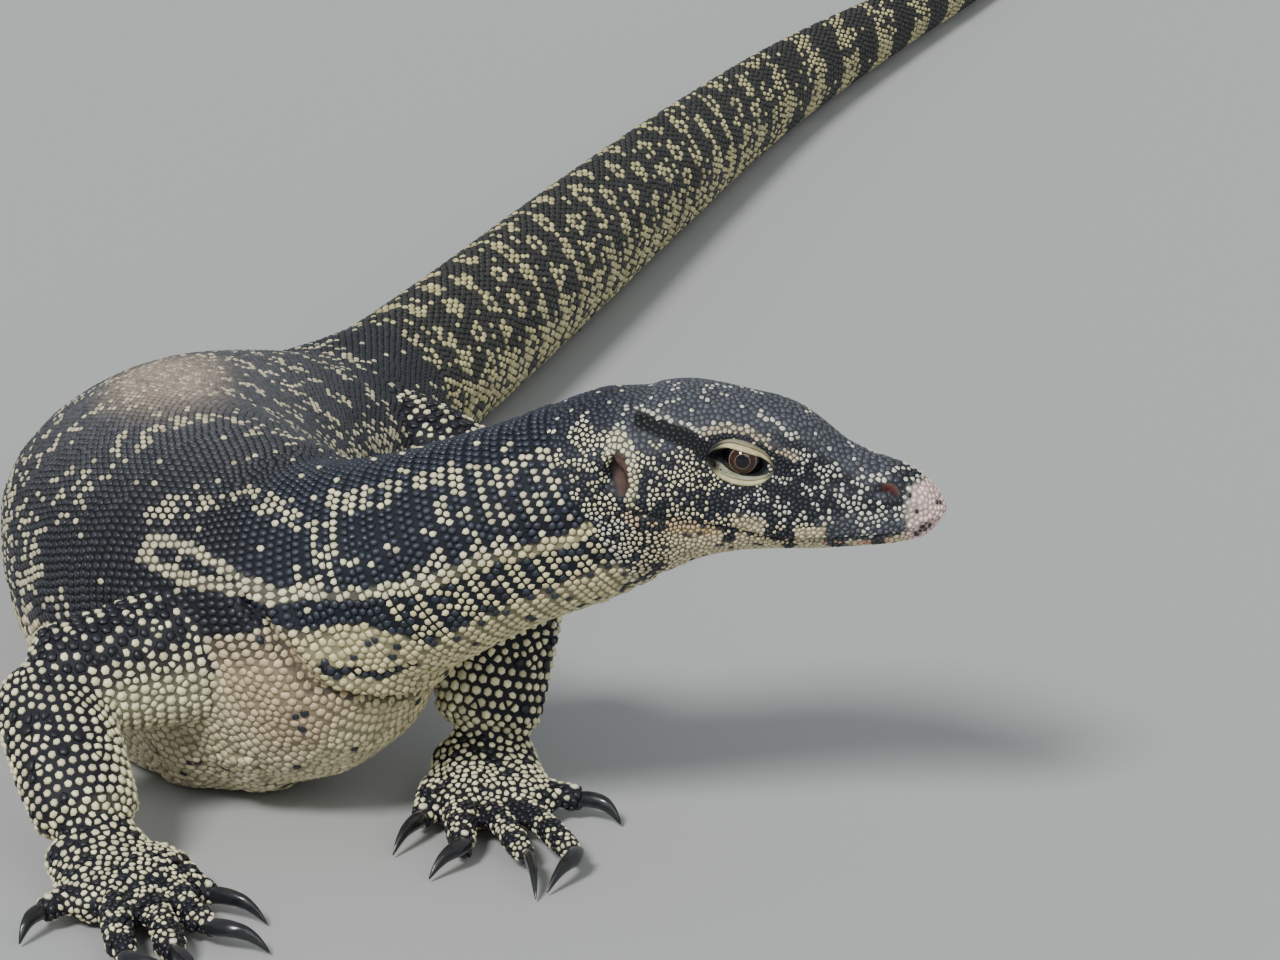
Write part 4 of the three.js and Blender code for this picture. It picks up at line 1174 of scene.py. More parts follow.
def head_marks(ahead, out, above, upward, angle):
    """The same over the head, from its own places and how far the hide faces up."""
    sides = fade(np.abs(out), 9, 13)
    snout_sides = fade(np.abs(out), 5, 8)
    over_mouth = above - np.interp(ahead, MOUTH_LINE[:, 0], MOUTH_LINE[:, 1])
    top = fade(upward, 0.42, 0.66) * fall(ahead, 84, 94)
    chance = np.full(len(ahead), HEAD_CHANCE)
    chance = patched(chance, ahead, above, CHEEK_PATCHES)
    chance = painted(chance, top, CROWN_CHANCE)
    nape = zone(ahead, above, *NAPE_PATCH) * fade(above, 2, 8)
    chance = painted(chance, nape, NAPE_CHANCE)
    chance = patched(chance, ahead, above, EAR_PATCHES)
    chance = patched(chance, ahead, over_mouth, LIP_PATCHES)
    below = fall(over_mouth, -1.2, 0.2) * fade(ahead, 2, 14)
    chance = painted(chance, below, LIP_CHANCE)
    throat = fall(ahead, 8, 34) * fade(np.abs(angle), 96, 106)
    chance = painted(chance, throat, UNDER_CHANCE)
    for bar, width in LIP_BARS:
        strip = zone(ahead, over_mouth, bar - width, bar + width, *LIP_BAR_HEIGHT)
        chance = painted(chance, strip * below, LIP_BAR_CHANCE)
    stripes = {}
    for name, (path, half_width, soft, share) in HEAD_STRIPES.items():
        stripes[name] = near_path(ahead, above, path, half_width, soft) * sides
        chance = painted(chance, stripes[name], share)
    for path, half_width, soft, share in SNOUT_STRIPES:
        stripe = near_path(ahead, above, path, half_width, soft)
        chance = painted(chance, stripe * snout_sides, share)
    rim = fall(np.abs(pit_share(ahead, above, EAR) - 1.5), 0.35, 0.6)
    rim = rim * fade(ahead * 0.8 + above * 0.5, 0, 2) * sides
    chance = painted(chance, rim, EAR_RIM_CHANCE)
    tip = fade(ahead, *SNOUT_TIP[0]) * fall(above, *SNOUT_TIP[1])
    chance = painted(chance, tip, TIP_CHANCE)
    dark = np.tile(COLOURS["head dark"], (len(ahead), 1))
    # The crown's hide that faces up turns slate grey: partly its own greyer hide, partly a painted
    # sky sheen on the top.
    dark = tinted(dark, top, "slate")
    dark = tinted(dark, fade(-ahead, -14, 12) * top, "neck dark")
    dark = tinted(dark, zone(ahead, over_mouth, *SLATE_LIP), "slate")
    dark = tinted(dark, stripes["temple"], "black")
    pale = np.tile(COLOURS["head pale"], (len(ahead), 1))
    pale = tinted(pale, zone(ahead, above, *WARM_CHEEK), "neck pale")
    pale = tinted(pale, below, "lip pale")
    pale = tinted(pale, zone(ahead, over_mouth, *WARM_LIP), "lip pale")
    pale = tinted(pale, stripes["brow"], "brow")
    pale = tinted(pale, near_path(ahead, over_mouth, MOUTH_CORNER, 1.6, 2.5) * 0.5, "orange")
    flush = np.maximum(*[near_path(ahead, over_mouth, path, 0.9, 1) for path in FLUSHES])
    pale = tinted(pale, flush * 0.6, "flush")
    pale = tinted(pale, tip, "tip")
    return chance, dark, pale


def limb_inner(limb, normals):
    """1 on the inner side of a leg, which is the palest, and 0 on its outer and upper sides."""
    inward = np.array((limb["side"], 0.0, 0.0)) if limb["front"] else -limb["side"] * hip_side
    return np.clip(0.55 + 0.6 * (normals @ inward) - 0.55 * normals[:, 2], 0, 1)


def limb_marks(limb, part, places, normals):
    """The same over a leg: pale beads set in black, closer on the inner side and the foot."""
    inner = limb_inner(limb, normals)
    if part < 2:
        least, more, *edge = UPPER_LIMB if part == 0 else LOWER_LIMB
        chance = least + more * fade(inner, *edge)
    else:
        chance = np.full(len(places), FOOT_CHANCE)
        least, more, *edge = DIGIT_BANDS
        for start, way, length in limb["digits"]:
            share = (places - start) @ way
            away = places - start - way * np.clip(share, 0, length)[:, None]
            on_digit = (np.hypot(away[:, 0], away[:, 1]) < DIGIT_HALF) & (share > DIGIT_MARKED)
            turn = (length - share) * 2 * math.pi / DIGIT_BAND_GAP + DIGIT_BAND_SHIFT
            bands = 0.5 + 0.5 * np.sin(turn)
            chance = np.where(on_digit, least + more * fade(bands, *edge), chance)
    under = fade(-normals[:, 2], 0.5, 0.8)
    chance = painted(chance, under * (part != 2), SOLE_CHANCE)
    dark = np.tile(COLOURS["limb dark"], (len(places), 1))
    pale = np.tile(COLOURS["limb pale"], (len(places), 1))
    pale = tinted(pale, under, "belly pale")
    return chance, dark, pale


def marks(places, normals, region, distance, angle):
    """Chance of pale, dark and pale colours for any places on the animal."""
    chance, dark, pale = body_marks(distance, angle)
    ahead, out, above = head_coordinates(places)
    head = head_marks(ahead, out, above, normals @ HEAD_UP, angle)
    in_head = (region < len(HEAD_NODES)).astype(float)
    chance = painted(chance, in_head, head[0])
    dark = painted(dark, in_head[:, None], head[1])
    pale = painted(pale, in_head[:, None], head[2])
    for limb in limbs:
        for part, name in enumerate(limb["nodes"]):
            chosen = region == FLESH_NODES.index(name)
            if chosen.any():
                made = limb_marks(limb, part, places[chosen], normals[chosen])
                chance[chosen], dark[chosen], pale[chosen] = made
    return chance, dark, pale


scale_distance, scale_angle = body_coordinates(place)
scale_region = nearest_nodes(place)
chance, dark, pale = marks(place, normal, scale_region, scale_distance, scale_angle)
patches = np.array([noise.noise(Vector(spot / PATCH_SIZE)) for spot in place])
roll = random.random(len(place)) + PATCH_PULL * patches
roll = np.argsort(np.argsort(roll)) / len(roll)
beads = np.modf((column + 2 * (row % 3)) / 3 + 0.01)[0]
in_rows = (group >= FIRST_LIMB_SET) & (row > 0)
roll = np.where(in_rows, BEAD_PULL * beads + BEAD_CHANCE * random.random(len(place)), roll)
is_pale = roll < chance
shield = row == SHIELD_ROW
is_pale[shield] = True
shade = 1 + SHADE_SPREAD * np.clip(random.normal(size=len(place)), -2, 2)
scale_colour = np.where(is_pale[:, None], pale, dark) * shade[:, None]
scale_colour[shield] = COLOURS["shield"]

# The scale coat: solid plates of horn, each domed above and closed below, sunk a little into the
# hide and joined into twelve meshes. Pale scales set in black are smaller beads with more black
# skin round them, and the dark scales and those of the belly lie close together.
BEAD_FILL, FOOT_FILL, LIMB_FILL, INNER_FILL = 0.88, 0.84, 0.74, 0.2
BEADS_BELOW = 0.85
HEAD_TALL, CROWN_LOWER = 0.52, 0.2
BODY_TALL, NECK_TALLER, BELLY_TALL = 0.75, 0.25, 0.5
LIMB_TALL, LIMB_ROOT_TALL = 0.95, 0.65
BELLY_FROM = 105
RIM_SUNK = 0.3
CROWN_SHARE, CROWN_LIFT, CROWN_SLOPE = 0.76, 0.75, 0.22
TIP_BACK, TIP_RISE = 0.18, 1.12
COAT_LOWEST = 0.05
# Painted shade: each scale's rim, where it meets the skin, is painted darker than its crown.
RIM_PAINTED_SHADE = 0.62
PATCH_RIM, PATCH_CROWN = 0.0015, 0.0009
UNWRAP_EDGE, UNWRAP_SPAN = 0.01, 0.98
LIMB_STRIP, LIMB_STRIP_SPAN = 0.30, 0.28
FOOT_STRIP, FOOT_STRIP_SPAN, SOLE_SPAN = 0.62, 0.37, 0.47
FOOT_BEHIND, FOOT_ASIDE, FOOT_LONG = 30, 65, 130
BODY_PIECES = [
    ("neck", 0, 230), ("shoulder", 230, 330), ("trunk", 330, 430), ("hips", 430, 540),
    ("rump", 540, 700), ("tail_base", 700, 960), ("tail_end", 960, 1600),
]
HEAD_PIECE_END = 130

fill = np.where(is_pale & (chance < BEADS_BELOW), BEAD_FILL, 1.0)
for number, limb in enumerate(limbs):
    chosen = (group == FIRST_LIMB_SET + number) & is_pale & ~shield
    inner = fade(limb_inner(limb, normal[chosen]), 0.25, 0.8)
    on_foot = scale_region[chosen] == FLESH_NODES.index(limb["nodes"][2])
    fill[chosen] = np.where(on_foot, FOOT_FILL, LIMB_FILL + INNER_FILL * inner)
outline *= fill[:, None]
on_body = group == BODY_SET
head_tall = HEAD_TALL - CROWN_LOWER * fade(normal @ HEAD_UP, 0.4, 0.7)
height = np.where(group == HEAD_SET, head_tall, LIMB_TALL)
body_tall = BODY_TALL + NECK_TALLER * fall(scale_distance, 200, 280)
height = np.where(on_body, body_tall, height)
height = np.where(on_body & (np.abs(scale_angle) > BELLY_FROM), BELLY_TALL, height)
height = np.where((group >= FIRST_LIMB_SET) & (row == 0), LIMB_ROOT_TALL, height)
height *= np.minimum(spacing / 3, 1)


def set_marking(mesh, colours):
    """Gives each corner of the mesh its colour, which the material reads by this name."""
    marking = mesh.color_attributes.new("marking", "FLOAT_COLOR", "POINT")
    solid = np.concatenate([colours, np.ones((*colours.shape[:-1], 1))], -1)
    marking.data.foreach_set("color", solid.astype(np.float32).ravel())


def build_coat(name, chosen, unwrap, material):
    """One joined mesh of the chosen scales: domed plates closed below, with their colours."""
    chosen = np.flatnonzero(chosen)
    count = len(chosen)
    turn = np.stack([np.cos(directions), np.sin(directions)], 1)
    way = lie[chosen][:, None] * turn[None, :, :1] + sideways[chosen][:, None] * turn[None, :, 1:]
    middle = place[chosen][:, None]
    up = normal[chosen][:, None]
    rim_reach = outline[chosen][..., None]
    lift = CROWN_LIFT + CROWN_SLOPE * turn[None, :, :1]
    rim = middle + way * rim_reach - up * RIM_SUNK
    crown = middle + way * rim_reach * CROWN_SHARE + up * height[chosen][:, None, None] * lift
    back = lie[chosen] * (outline[chosen].mean(1) * TIP_BACK)[:, None]
    tip = place[chosen] + back + normal[chosen] * (height[chosen] * TIP_RISE)[:, None]
    made = np.concatenate([rim, crown, tip[:, None]], 1)
    made[..., 2] = np.maximum(made[..., 2], COAT_LOWEST)
    per_scale = 2 * SIDES + 1
    faces = []
    for side in range(SIDES):
        after = (side + 1) % SIDES
        faces.append((side, after, SIDES + after))
        faces.append((side, SIDES + after, SIDES + side))
        faces.append((SIDES + side, SIDES + after, 2 * SIDES))
    for side in range(1, SIDES - 1):
        faces.append((0, side + 1, side))
    pattern = np.array(faces)
    corners = (pattern[None] + (np.arange(count) * per_scale)[:, None, None]).reshape(-1)
    mesh = bpy.data.meshes.new(name)
    mesh.vertices.add(count * per_scale)
    mesh.vertices.foreach_set("co", (made * MM).astype(np.float32).ravel())
    mesh.loops.add(len(corners))
    mesh.loops.foreach_set("vertex_index", corners.astype(np.int32))
    face_count = count * len(pattern)
    mesh.polygons.add(face_count)
    mesh.polygons.foreach_set("loop_start", np.arange(0, face_count * 3, 3, dtype=np.int32))
    mesh.update(calc_edges=True)
    mesh.polygons.foreach_set("use_smooth", [True] * face_count)
    tint = np.repeat(scale_colour[chosen][:, None], per_scale, 1)
    # The rims take the painted shade of the crevices between the scales.
    tint[:, :SIDES] *= RIM_PAINTED_SHADE
    set_marking(mesh, tint)
    patch = np.zeros((count, per_scale, 2))
    patch[:, :SIDES] = turn * PATCH_RIM
    patch[:, SIDES:2 * SIDES] = turn * PATCH_CROWN
    patch += unwrap[chosen][:, None]
    flat = patch.reshape(-1, 2)[corners]
    layer = mesh.uv_layers.new(name="OFBake")
    layer.uv.foreach_set("vector", flat.astype(np.float32).ravel())
    mesh.materials.append(material)
    made_object = linked_object(name, mesh)
    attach(made_object, "root")


def new_group(name, sockets):
    """A shader node group with these named inputs and outputs."""
    made = bpy.data.node_groups.new(name, "ShaderNodeTree")
    for socket_name, kind, direction in sockets:
        made.interface.new_socket(name=socket_name, in_out=direction, socket_type=kind)
    return made, made.nodes.new("NodeGroupInput"), made.nodes.new("NodeGroupOutput")


def added_node(tree, kind, **values):
    """A new node with these inputs set: an underscore stands for a space in an input's name."""
    made = tree.nodes.new(kind)
    for name, value in values.items():
        made.inputs[name.replace("_", " ")].default_value = value
    return made


GRAIN_SOCKETS = [
    ("Marking", "NodeSocketColor", "INPUT"), ("Roughness", "NodeSocketFloat", "INPUT"),
    ("Colour", "NodeSocketColor", "OUTPUT"), ("Surface roughness", "NodeSocketFloat", "OUTPUT"),
    ("Bumps", "NodeSocketVector", "OUTPUT"),
]
grain_group, entry, leaving = new_group("hide grain", GRAIN_SOCKETS)
grain_links = grain_group.links
spot_node = added_node(grain_group, "ShaderNodeTexCoord")
mottle = added_node(grain_group, "ShaderNodeTexNoise", Scale=420, Detail=5, Roughness=0.65)
dust_and_sheen = added_node(grain_group, "ShaderNodeTexNoise", Scale=38, Detail=3)
lighter = added_node(
    grain_group, "ShaderNodeMapRange", From_Min=0.3, From_Max=0.7, To_Min=0.72, To_Max=1.2
)
worn_rough = added_node(
    grain_group, "ShaderNodeMapRange", From_Min=0.35, From_Max=0.65, To_Min=-0.07, To_Max=0.12
)
pits = added_node(grain_group, "ShaderNodeTexVoronoi", Scale=1800)
grain_bump = added_node(grain_group, "ShaderNodeBump", Strength=0.35, Distance=0.00012)
tinted_colour = added_node(grain_group, "ShaderNodeVectorMath")
tinted_colour.operation = "SCALE"
roughness_sum = added_node(grain_group, "ShaderNodeMath")
for source in (mottle, dust_and_sheen, pits):
    grain_links.new(spot_node.outputs["Object"], source.inputs["Vector"])
grain_links.new(mottle.outputs["Fac"], lighter.inputs["Value"])
grain_links.new(dust_and_sheen.outputs["Fac"], worn_rough.inputs["Value"])
grain_links.new(entry.outputs["Marking"], tinted_colour.inputs["Vector"])
grain_links.new(lighter.outputs["Result"], tinted_colour.inputs["Scale"])
grain_links.new(tinted_colour.outputs["Vector"], leaving.inputs["Colour"])
grain_links.new(entry.outputs["Roughness"], roughness_sum.inputs[0])
grain_links.new(worn_rough.outputs["Result"], roughness_sum.inputs[1])
grain_links.new(roughness_sum.outputs["Value"], leaving.inputs["Surface roughness"])
grain_links.new(pits.outputs["Distance"], grain_bump.inputs["Height"])
grain_links.new(grain_bump.outputs["Normal"], leaving.inputs["Bumps"])


def marked_hide(name, roughness):
    """A hide material: the colour of the attribute marking, with fine mottling, wear and pits."""
    material, tree, shader = plain_material(name)
    attribute = added_node(tree, "ShaderNodeAttribute")
    attribute.attribute_name = "marking"
    grain = added_node(tree, "ShaderNodeGroup")
    grain.node_tree = grain_group
    grain.inputs["Roughness"].default_value = roughness
    tree.links.new(attribute.outputs["Color"], grain.inputs["Marking"])
    tree.links.new(grain.outputs["Colour"], shader.inputs["Base Color"])
    tree.links.new(grain.outputs["Surface roughness"], shader.inputs["Roughness"])
    tree.links.new(grain.outputs["Bumps"], shader.inputs["Normal"])
    return material, shader


hide_material, _ = marked_hide("scale hide", 0.42)


def unwrapped(low, high, distance, angle):
    """The body laid out flat: along it, and round it from the middle of the belly."""
    along = np.clip((distance - low) / (high - low), 0, 1)
    round_it = UNWRAP_EDGE + UNWRAP_SPAN * (angle + 180) / 360
    return np.stack([UNWRAP_EDGE + UNWRAP_SPAN * along, round_it], 1)


def limb_unwrapped(limb):
    """A leg laid out flat: its two lengths side by side, then the foot's top and its sole."""
    flat = np.full((len(place), 2), 0.5)
    for part, (start, end) in enumerate([("root", "bend"), ("bend", "wrist")]):
        along = limb[end] - limb[start]
        away = place - limb[start]
        share = np.clip((away @ along) / (along @ along), 0, 1)
        across = np.cross(along, (0, 0, 1))
        across /= np.linalg.norm(across)
        up = np.cross(across, along / np.linalg.norm(along))
        turn = np.arctan2(away @ across, away @ up) / (2 * math.pi) + 0.5
        chosen = scale_region == FLESH_NODES.index(limb["nodes"][part])
        flat[chosen, 0] = UNWRAP_EDGE + LIMB_STRIP * part + LIMB_STRIP_SPAN * share[chosen]
        flat[chosen, 1] = UNWRAP_EDGE + UNWRAP_SPAN * turn[chosen]
    away = place - limb["wrist"]
    ahead = np.clip((away @ limb["forward"] + FOOT_BEHIND) / FOOT_LONG, 0, 1)
    inward = np.clip((away @ limb["thumbward"] + FOOT_ASIDE) / FOOT_LONG, 0, 1)
    chosen = scale_region == FLESH_NODES.index(limb["nodes"][2])
    flat[chosen, 0] = FOOT_STRIP + FOOT_STRIP_SPAN * ahead[chosen]
    flat[chosen, 1] = UNWRAP_EDGE + SOLE_SPAN * inward[chosen] + 0.5 * (normal[chosen, 2] > 0)
    return flat


head_flat = unwrapped(0, HEAD_PIECE_END, scale_distance, scale_angle)
build_coat("scales_head", group == HEAD_SET, head_flat, hide_material)
for name, low, high in BODY_PIECES:
    chosen = on_body & (scale_distance >= low) & (scale_distance < high)
    flat = unwrapped(low, high, scale_distance, scale_angle)
    build_coat(f"scales_{name}", chosen, flat, hide_material)
for number, limb in enumerate(limbs):
    kind = "arm" if limb["front"] else "leg"
    build_coat(
        f"scales_{kind}_{limb['label']}", group == FIRST_LIMB_SET + number,
        limb_unwrapped(limb), hide_material,
    )

# The skin between the scales: soft hide, almost black above and cream on the belly and the
# inner arms, with the same markings as the scales. It takes the place of all the flesh.
INNER_SKIN = 0.48
LIMB_SKIN = (0.36, 0.10)
PALE_FROM, PALE_TO = 0.8, 0.98
UNDER_LEAST, UNDER_MORE = 0.25, 0.75
MUZZLE_SHARE = 0.5
SKIN_DEEPER = 0.45

skin = linked_object("skin", skin_mesh)
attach(skin, "root")
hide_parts(*FLESH_NODES)
skin_chance, skin_dark, skin_pale = marks(
    skin_places, skin_normals, skin_region, skin_distance, skin_angle
)
underside = fade(np.abs(skin_angle), 98, 112) * fade(-skin_normals[:, 2], -0.35, 0.2)
skin_share = INNER_SKIN * fade(skin_chance, PALE_FROM, PALE_TO)
skin_share = skin_share * (UNDER_LEAST + UNDER_MORE * underside)
skin_head = skin_region < len(HEAD_NODES)
ahead, out, above = head_coordinates(skin_places)
muzzle = skin_head * fade(ahead, 92, 96) * fall(above, *SNOUT_TIP[1])
skin_share = np.maximum(skin_share, MUZZLE_SHARE * muzzle)
on_limb = skin_region >= FIRST_LIMB
skin_share[on_limb] = 0
for limb in limbs:
    for name, most in zip(limb["nodes"], LIMB_SKIN):
        chosen = skin_region == FLESH_NODES.index(name)
        inner = limb_inner(limb, skin_normals[chosen])
        skin_share[chosen] = most * fade(inner, 0.5, 1.0)
skin_deep = np.where(on_limb, 1.0, SKIN_DEEPER)[:, None] * skin_dark
skin_colour = painted(skin_deep, skin_share[:, None], skin_pale)
cup = fall(pit_share(ahead, above, EAR), 0.85, 1.1)
skin_colour = tinted(skin_colour, skin_head * (np.abs(out) > EAR_OUT) * cup, "ear cup")
hole = fall(pit_share(ahead, above, NOSTRIL), 0.8, 1.15)
skin_colour = tinted(skin_colour, skin_head * (np.abs(out) > NOSTRIL_OUT) * hole, "nostril")
# Painted shade: the deep socket round each eyeball, where the lids don't cover it, is painted black.
painted_socket_shade = fall(slit_share(ahead, above), 1.1, 1.3)
skin_colour = tinted(skin_colour, skin_head * (np.abs(out) > LIDS_OUT) * painted_socket_shade, "black")
set_marking(skin_mesh, skin_colour)
skin_material, skin_shader = marked_hide("hide", 0.62)
skin_shader.inputs["Specular IOR Level"].default_value = 0.25
skin_mesh.materials.append(skin_material)

# The eyes: glossy balls set deep under the brow. A black pupil lies in a thin pale ring, then
# comes the red-brown iris with a second pale ring round it. The clear front bulges a little.
EYE_AIM = (0.10, 1.0, 0.02)
EYE_STEPS = 48
PUPIL, INNER_RING, IRIS, OUTER_RING = 2.3, 2.5, 4.15, 4.45
EYE_RADII = [0, 1.3, PUPIL, INNER_RING, 3.3, IRIS, OUTER_RING, 5.2, 6.0, 6.6, EYE_RADIUS]
CORNEA_BULGE, EYE_SUNK = 0.45, 0.1


TONE_SOCKETS = [
    ("First tone", "NodeSocketColor", "INPUT"), ("Second tone", "NodeSocketColor", "INPUT"),
    ("Grain", "NodeSocketFloat", "INPUT"), ("Colour", "NodeSocketColor", "OUTPUT"),
]
tone_group, tone_entry, tone_leaving = new_group("two tones", TONE_SOCKETS)
tone_links = tone_group.links
tone_spot = added_node(tone_group, "ShaderNodeTexCoord")
tone_noise = added_node(tone_group, "ShaderNodeTexNoise", Detail=4)
tone_mix = added_node(tone_group, "ShaderNodeMix")
tone_mix.data_type = "RGBA"
tone_links.new(tone_spot.outputs["Object"], tone_noise.inputs["Vector"])
tone_links.new(tone_entry.outputs["Grain"], tone_noise.inputs["Scale"])
tone_links.new(tone_noise.outputs["Fac"], tone_mix.inputs["Factor"])
tone_links.new(tone_entry.outputs["First tone"], tone_mix.inputs["A"])
tone_links.new(tone_entry.outputs["Second tone"], tone_mix.inputs["B"])
tone_links.new(tone_mix.outputs["Result"], tone_leaving.inputs["Colour"])


def coated(name, colour, second, scale, roughness, coat):
    """A two-tone material mottled by fine noise, under a clear coat."""
    material, tree, shader = plain_material(name)
    tones = added_node(tree, "ShaderNodeGroup")
    tones.node_tree = tone_group
    tones.inputs["First tone"].default_value = (*colour, 1)
    tones.inputs["Second tone"].default_value = (*second, 1)
    tones.inputs["Grain"].default_value = scale
    tree.links.new(tones.outputs["Colour"], shader.inputs["Base Color"])
    shader.inputs["Roughness"].default_value = roughness
    shader.inputs["Coat Weight"].default_value = coat
    shader.inputs["Coat Roughness"].default_value = 0.04
    shader.inputs["Specular IOR Level"].default_value = 0.5 * (1 - coat)
    return material


eye_materials = [
    coated("eye black", (0.001, 0.001, 0.002), (0.004, 0.004, 0.006), 900, 0.6, 1.0),
    coated("eye pale ring", (0.26, 0.19, 0.15), (0.12, 0.07, 0.05), 1500, 0.5, 1.0),
    coated("eye iris", (0.008, 0.003, 0.002), (0.052, 0.016, 0.009), 1300, 0.5, 1.0),
]
for side, label in ((1, "right"), (-1, "left")):
    centre = Vector(head_point(*EYE_CENTRE, side) * MM)
    aim = HEAD_FORWARD * EYE_AIM[0] + HEAD_RIGHT * (EYE_AIM[1] * side) + HEAD_UP * EYE_AIM[2]
    aim = Vector(aim).normalized()
    across = aim.orthogonal().normalized()
    form = bmesh.new()
    previous = None
    profile = [(radius, math.sqrt(EYE_RADIUS**2 - radius**2)) for radius in EYE_RADII]
    profile += [(radius, -height) for radius, height in profile[-2::-2]]
    for radius, height in profile:
        bulge = CORNEA_BULGE * max(1 - (radius / OUTER_RING) ** 2, 0) if height > 0 else 0
        spot = centre + (across * radius + aim * (height + bulge - EYE_SUNK)) * MM
        vert = form.verts.new(spot)
        if previous is not None:
            form.edges.new((previous, vert))
        previous = vert
    bmesh.ops.spin(
        form, geom=[*form.verts, *form.edges], cent=centre, axis=aim, angle=2 * math.pi,
        steps=EYE_STEPS, use_merge=True,
    )
    bmesh.ops.remove_doubles(form, verts=form.verts, dist=1e-6)
    bmesh.ops.recalc_face_normals(form, faces=form.faces)
    for face in form.faces:
        face.smooth = True
        away = face.calc_center_median() - centre
        radius = (away - aim * away.dot(aim)).length / MM
        front = away.dot(aim) > 0
        face.material_index = 0
        if front and (PUPIL < radius < INNER_RING or IRIS < radius < OUTER_RING):
            face.material_index = 1
        elif front and INNER_RING < radius < IRIS:
            face.material_index = 2
    eye_mesh = bpy.data.meshes.new(f"eyeball_{label}")
    form.to_mesh(eye_mesh)
    form.free()
    for material in eye_materials:
        eye_mesh.materials.append(material)
    eyeball = linked_object(f"eyeball_{label}", eye_mesh)
    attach(eyeball, "root")
    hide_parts(f"eye_{label}")

# The eyelids: two soft rolls above each eye and two below, that taper into its corners. They
# lie on the ball at their inner edge and run under the scales round the eye at their outer.
# Each roll: name, up or down, how far from the slit's edge, width and bulge.
LIDS = [
    ("lid_upper", 1, 0.0, 1.7, 0.5), ("lid_upper_fold", 1, 1.8, 1.2, 0.35),
    ("lid_lower", -1, 0.0, 1.2, 0.40), ("lid_lower_fold", -1, 1.3, 1.7, 0.5),
]
LID_STATIONS = 36
LID_ACROSS = 7
LID_RISE = 0.45
LID_OVER_EYE = 0.55
LID_REACH = 1.04
LID_THICK, LID_LEAST_THICK = 1.5, 0.15
EDGE_IN = 0.25
FAR_OUT, FLAT_OUT = 48, 12
LID_COLOURS = {
    "lid_upper": (0.50, 0.45, 0.24), "lid_upper_fold": (0.20, 0.18, 0.11),
    "lid_lower": (0.30, 0.31, 0.20), "lid_lower_fold": (0.50, 0.46, 0.25),
}


def skin_out(ahead, above, side):
    """How far out from the middle plane the skin is, at a place on the side of the head."""
    origin = Vector(head_point(ahead, FAR_OUT, above, side) * MM)
    hit = skin_tree.ray_cast(origin, Vector(-HEAD_RIGHT * side))
    return FAR_OUT - hit[3] / MM if hit[0] is not None else FLAT_OUT


def lid_form(side, direction, offset, width, bulge):
    """One roll of a lid, from corner to corner of the eye, closed all round."""
    form = bmesh.new()
    rings = []
    last = LID_ACROSS - 1
    for station in range(LID_STATIONS + 1):
        share = station / LID_STATIONS
        along = SLIT_HALF[0] * LID_REACH * math.cos(math.pi * (1 - share))
        arch = max(1 - (along / (SLIT_HALF[0] * LID_REACH)) ** 2, 0)
        middle = SLIT_MIDDLE[1] + SLIT_SLOPE * (along - SLIT_MIDDLE[0])
        edge = middle + direction * SLIT_HALF[1] * arch**0.72
        taper = arch**0.33
        start = edge + direction * offset * taper
        ahead = EYE_CENTRE[0] + along
        ring = []
        for step in range(LID_ACROSS):
            level = start + direction * width * taper * step / last
            dome = math.sqrt(max((EYE_RADIUS + LID_OVER_EYE) ** 2 - along**2 - level**2, 0))
            skin_rest = skin_out(ahead, EYE_CENTRE[2] + level, side) + LID_RISE
            rest = max(dome + EYE_CENTRE[1], skin_rest)
            roll = math.sin(math.pi * step / last) ** 0.6
            out = rest + bulge * roll * taper - EDGE_IN * (step == 0)
            ring.append(form.verts.new(head_point(ahead, out, EYE_CENTRE[2] + level, side) * MM))
        thick = side * LID_THICK * max(taper, LID_LEAST_THICK) * MM
        for step in (last, last // 2, 0):
            ring.append(form.verts.new(Vector(ring[step].co) - Vector(HEAD_RIGHT) * thick))
        rings.append(ring)
    count = len(rings[0])
    for near, far in zip(rings, rings[1:]):
        for step in range(count):
            after = (step + 1) % count
            form.faces.new((near[step], near[after], far[after], far[step]))
    form.faces.new(rings[0])
    form.faces.new(rings[-1])
    bmesh.ops.remove_doubles(form, verts=form.verts, dist=2e-5)
    bmesh.ops.recalc_face_normals(form, faces=form.faces)
    return form


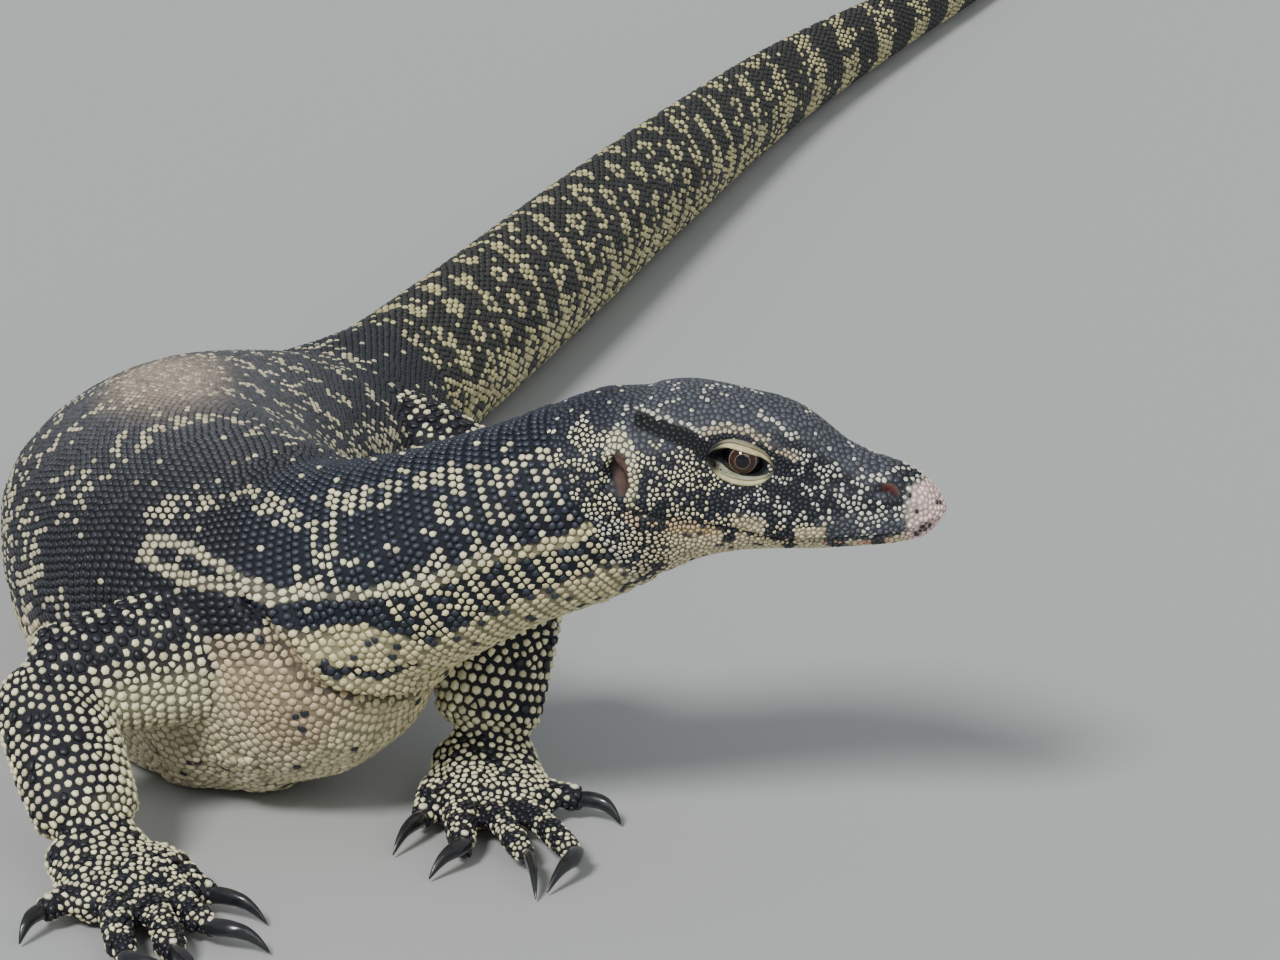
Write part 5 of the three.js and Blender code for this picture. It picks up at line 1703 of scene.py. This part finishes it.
lid_material, _ = marked_hide("lid hide", 0.5)
for side, label in ((1, "right"), (-1, "left")):
    for name, direction, offset, width, bulge in LIDS:
        form = lid_form(side, direction, offset, width, bulge)
        lid_mesh = bpy.data.meshes.new(f"{name}_{label}")
        form.to_mesh(lid_mesh)
        form.free()
        lid_mesh.polygons.foreach_set("use_smooth", [True] * len(lid_mesh.polygons))
        lid_mesh.materials.append(lid_material)
        ahead = head_coordinates(vertex_places(lid_mesh) / MM)[0] - EYE_CENTRE[0]
        # Painted shade: each lid turns black towards the deep corners of the eye.
        corner = np.maximum(0.95 * fade(-ahead, 5.0, 8.6), 0.75 * fade(ahead, 7.0, 9.6))
        lid_colour = np.array(LID_COLOURS[name])
        set_marking(lid_mesh, painted(lid_colour, corner[:, None], COLOURS["black"]))
        lid = linked_object(f"{name}_{label}", lid_mesh)
        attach(lid, "root")

# The claws: strongly hooked horn, near black with greyer streaks. Each keeps the shape of its
# solid, made rounder, and is set a little deeper into the toe.
CLAW_ROOT = 3.0
CLAW_SUNK = 3.5
claw_material = coated("claw horn", (0.005, 0.005, 0.006), (0.024, 0.025, 0.028), 260, 0.28, 0.4)
for limb in limbs:
    for number in range(1, 6):
        node = f"{limb['nodes'][2]}_claw_{number}"
        form = bmesh.new()
        form.from_mesh(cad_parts[node].data)
        bmesh.ops.remove_doubles(form, verts=form.verts, dist=MERGE_GAP)
        start, way, length = limb["digits"][number - 1]
        for vert in form.verts:
            beyond = (np.array(vert.co) / MM - start) @ way - length
            share = max(1 - beyond / CLAW_ROOT, 0) if beyond > -CLAW_ROOT else 1
            vert.co -= Vector(way) * (CLAW_SUNK * min(share, 1) * MM)
        claw_mesh = bpy.data.meshes.new(f"horn_{node}")
        form.to_mesh(claw_mesh)
        form.free()
        claw_mesh.polygons.foreach_set("use_smooth", [True] * len(claw_mesh.polygons))
        claw_mesh.materials.append(claw_material)
        claw = linked_object(f"horn_{node}", claw_mesh)
        rounder = claw.modifiers.new("rounder", "SUBSURF")
        rounder.levels = 2
        rounder.render_levels = 2
        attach(claw, "root")
        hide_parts(node)
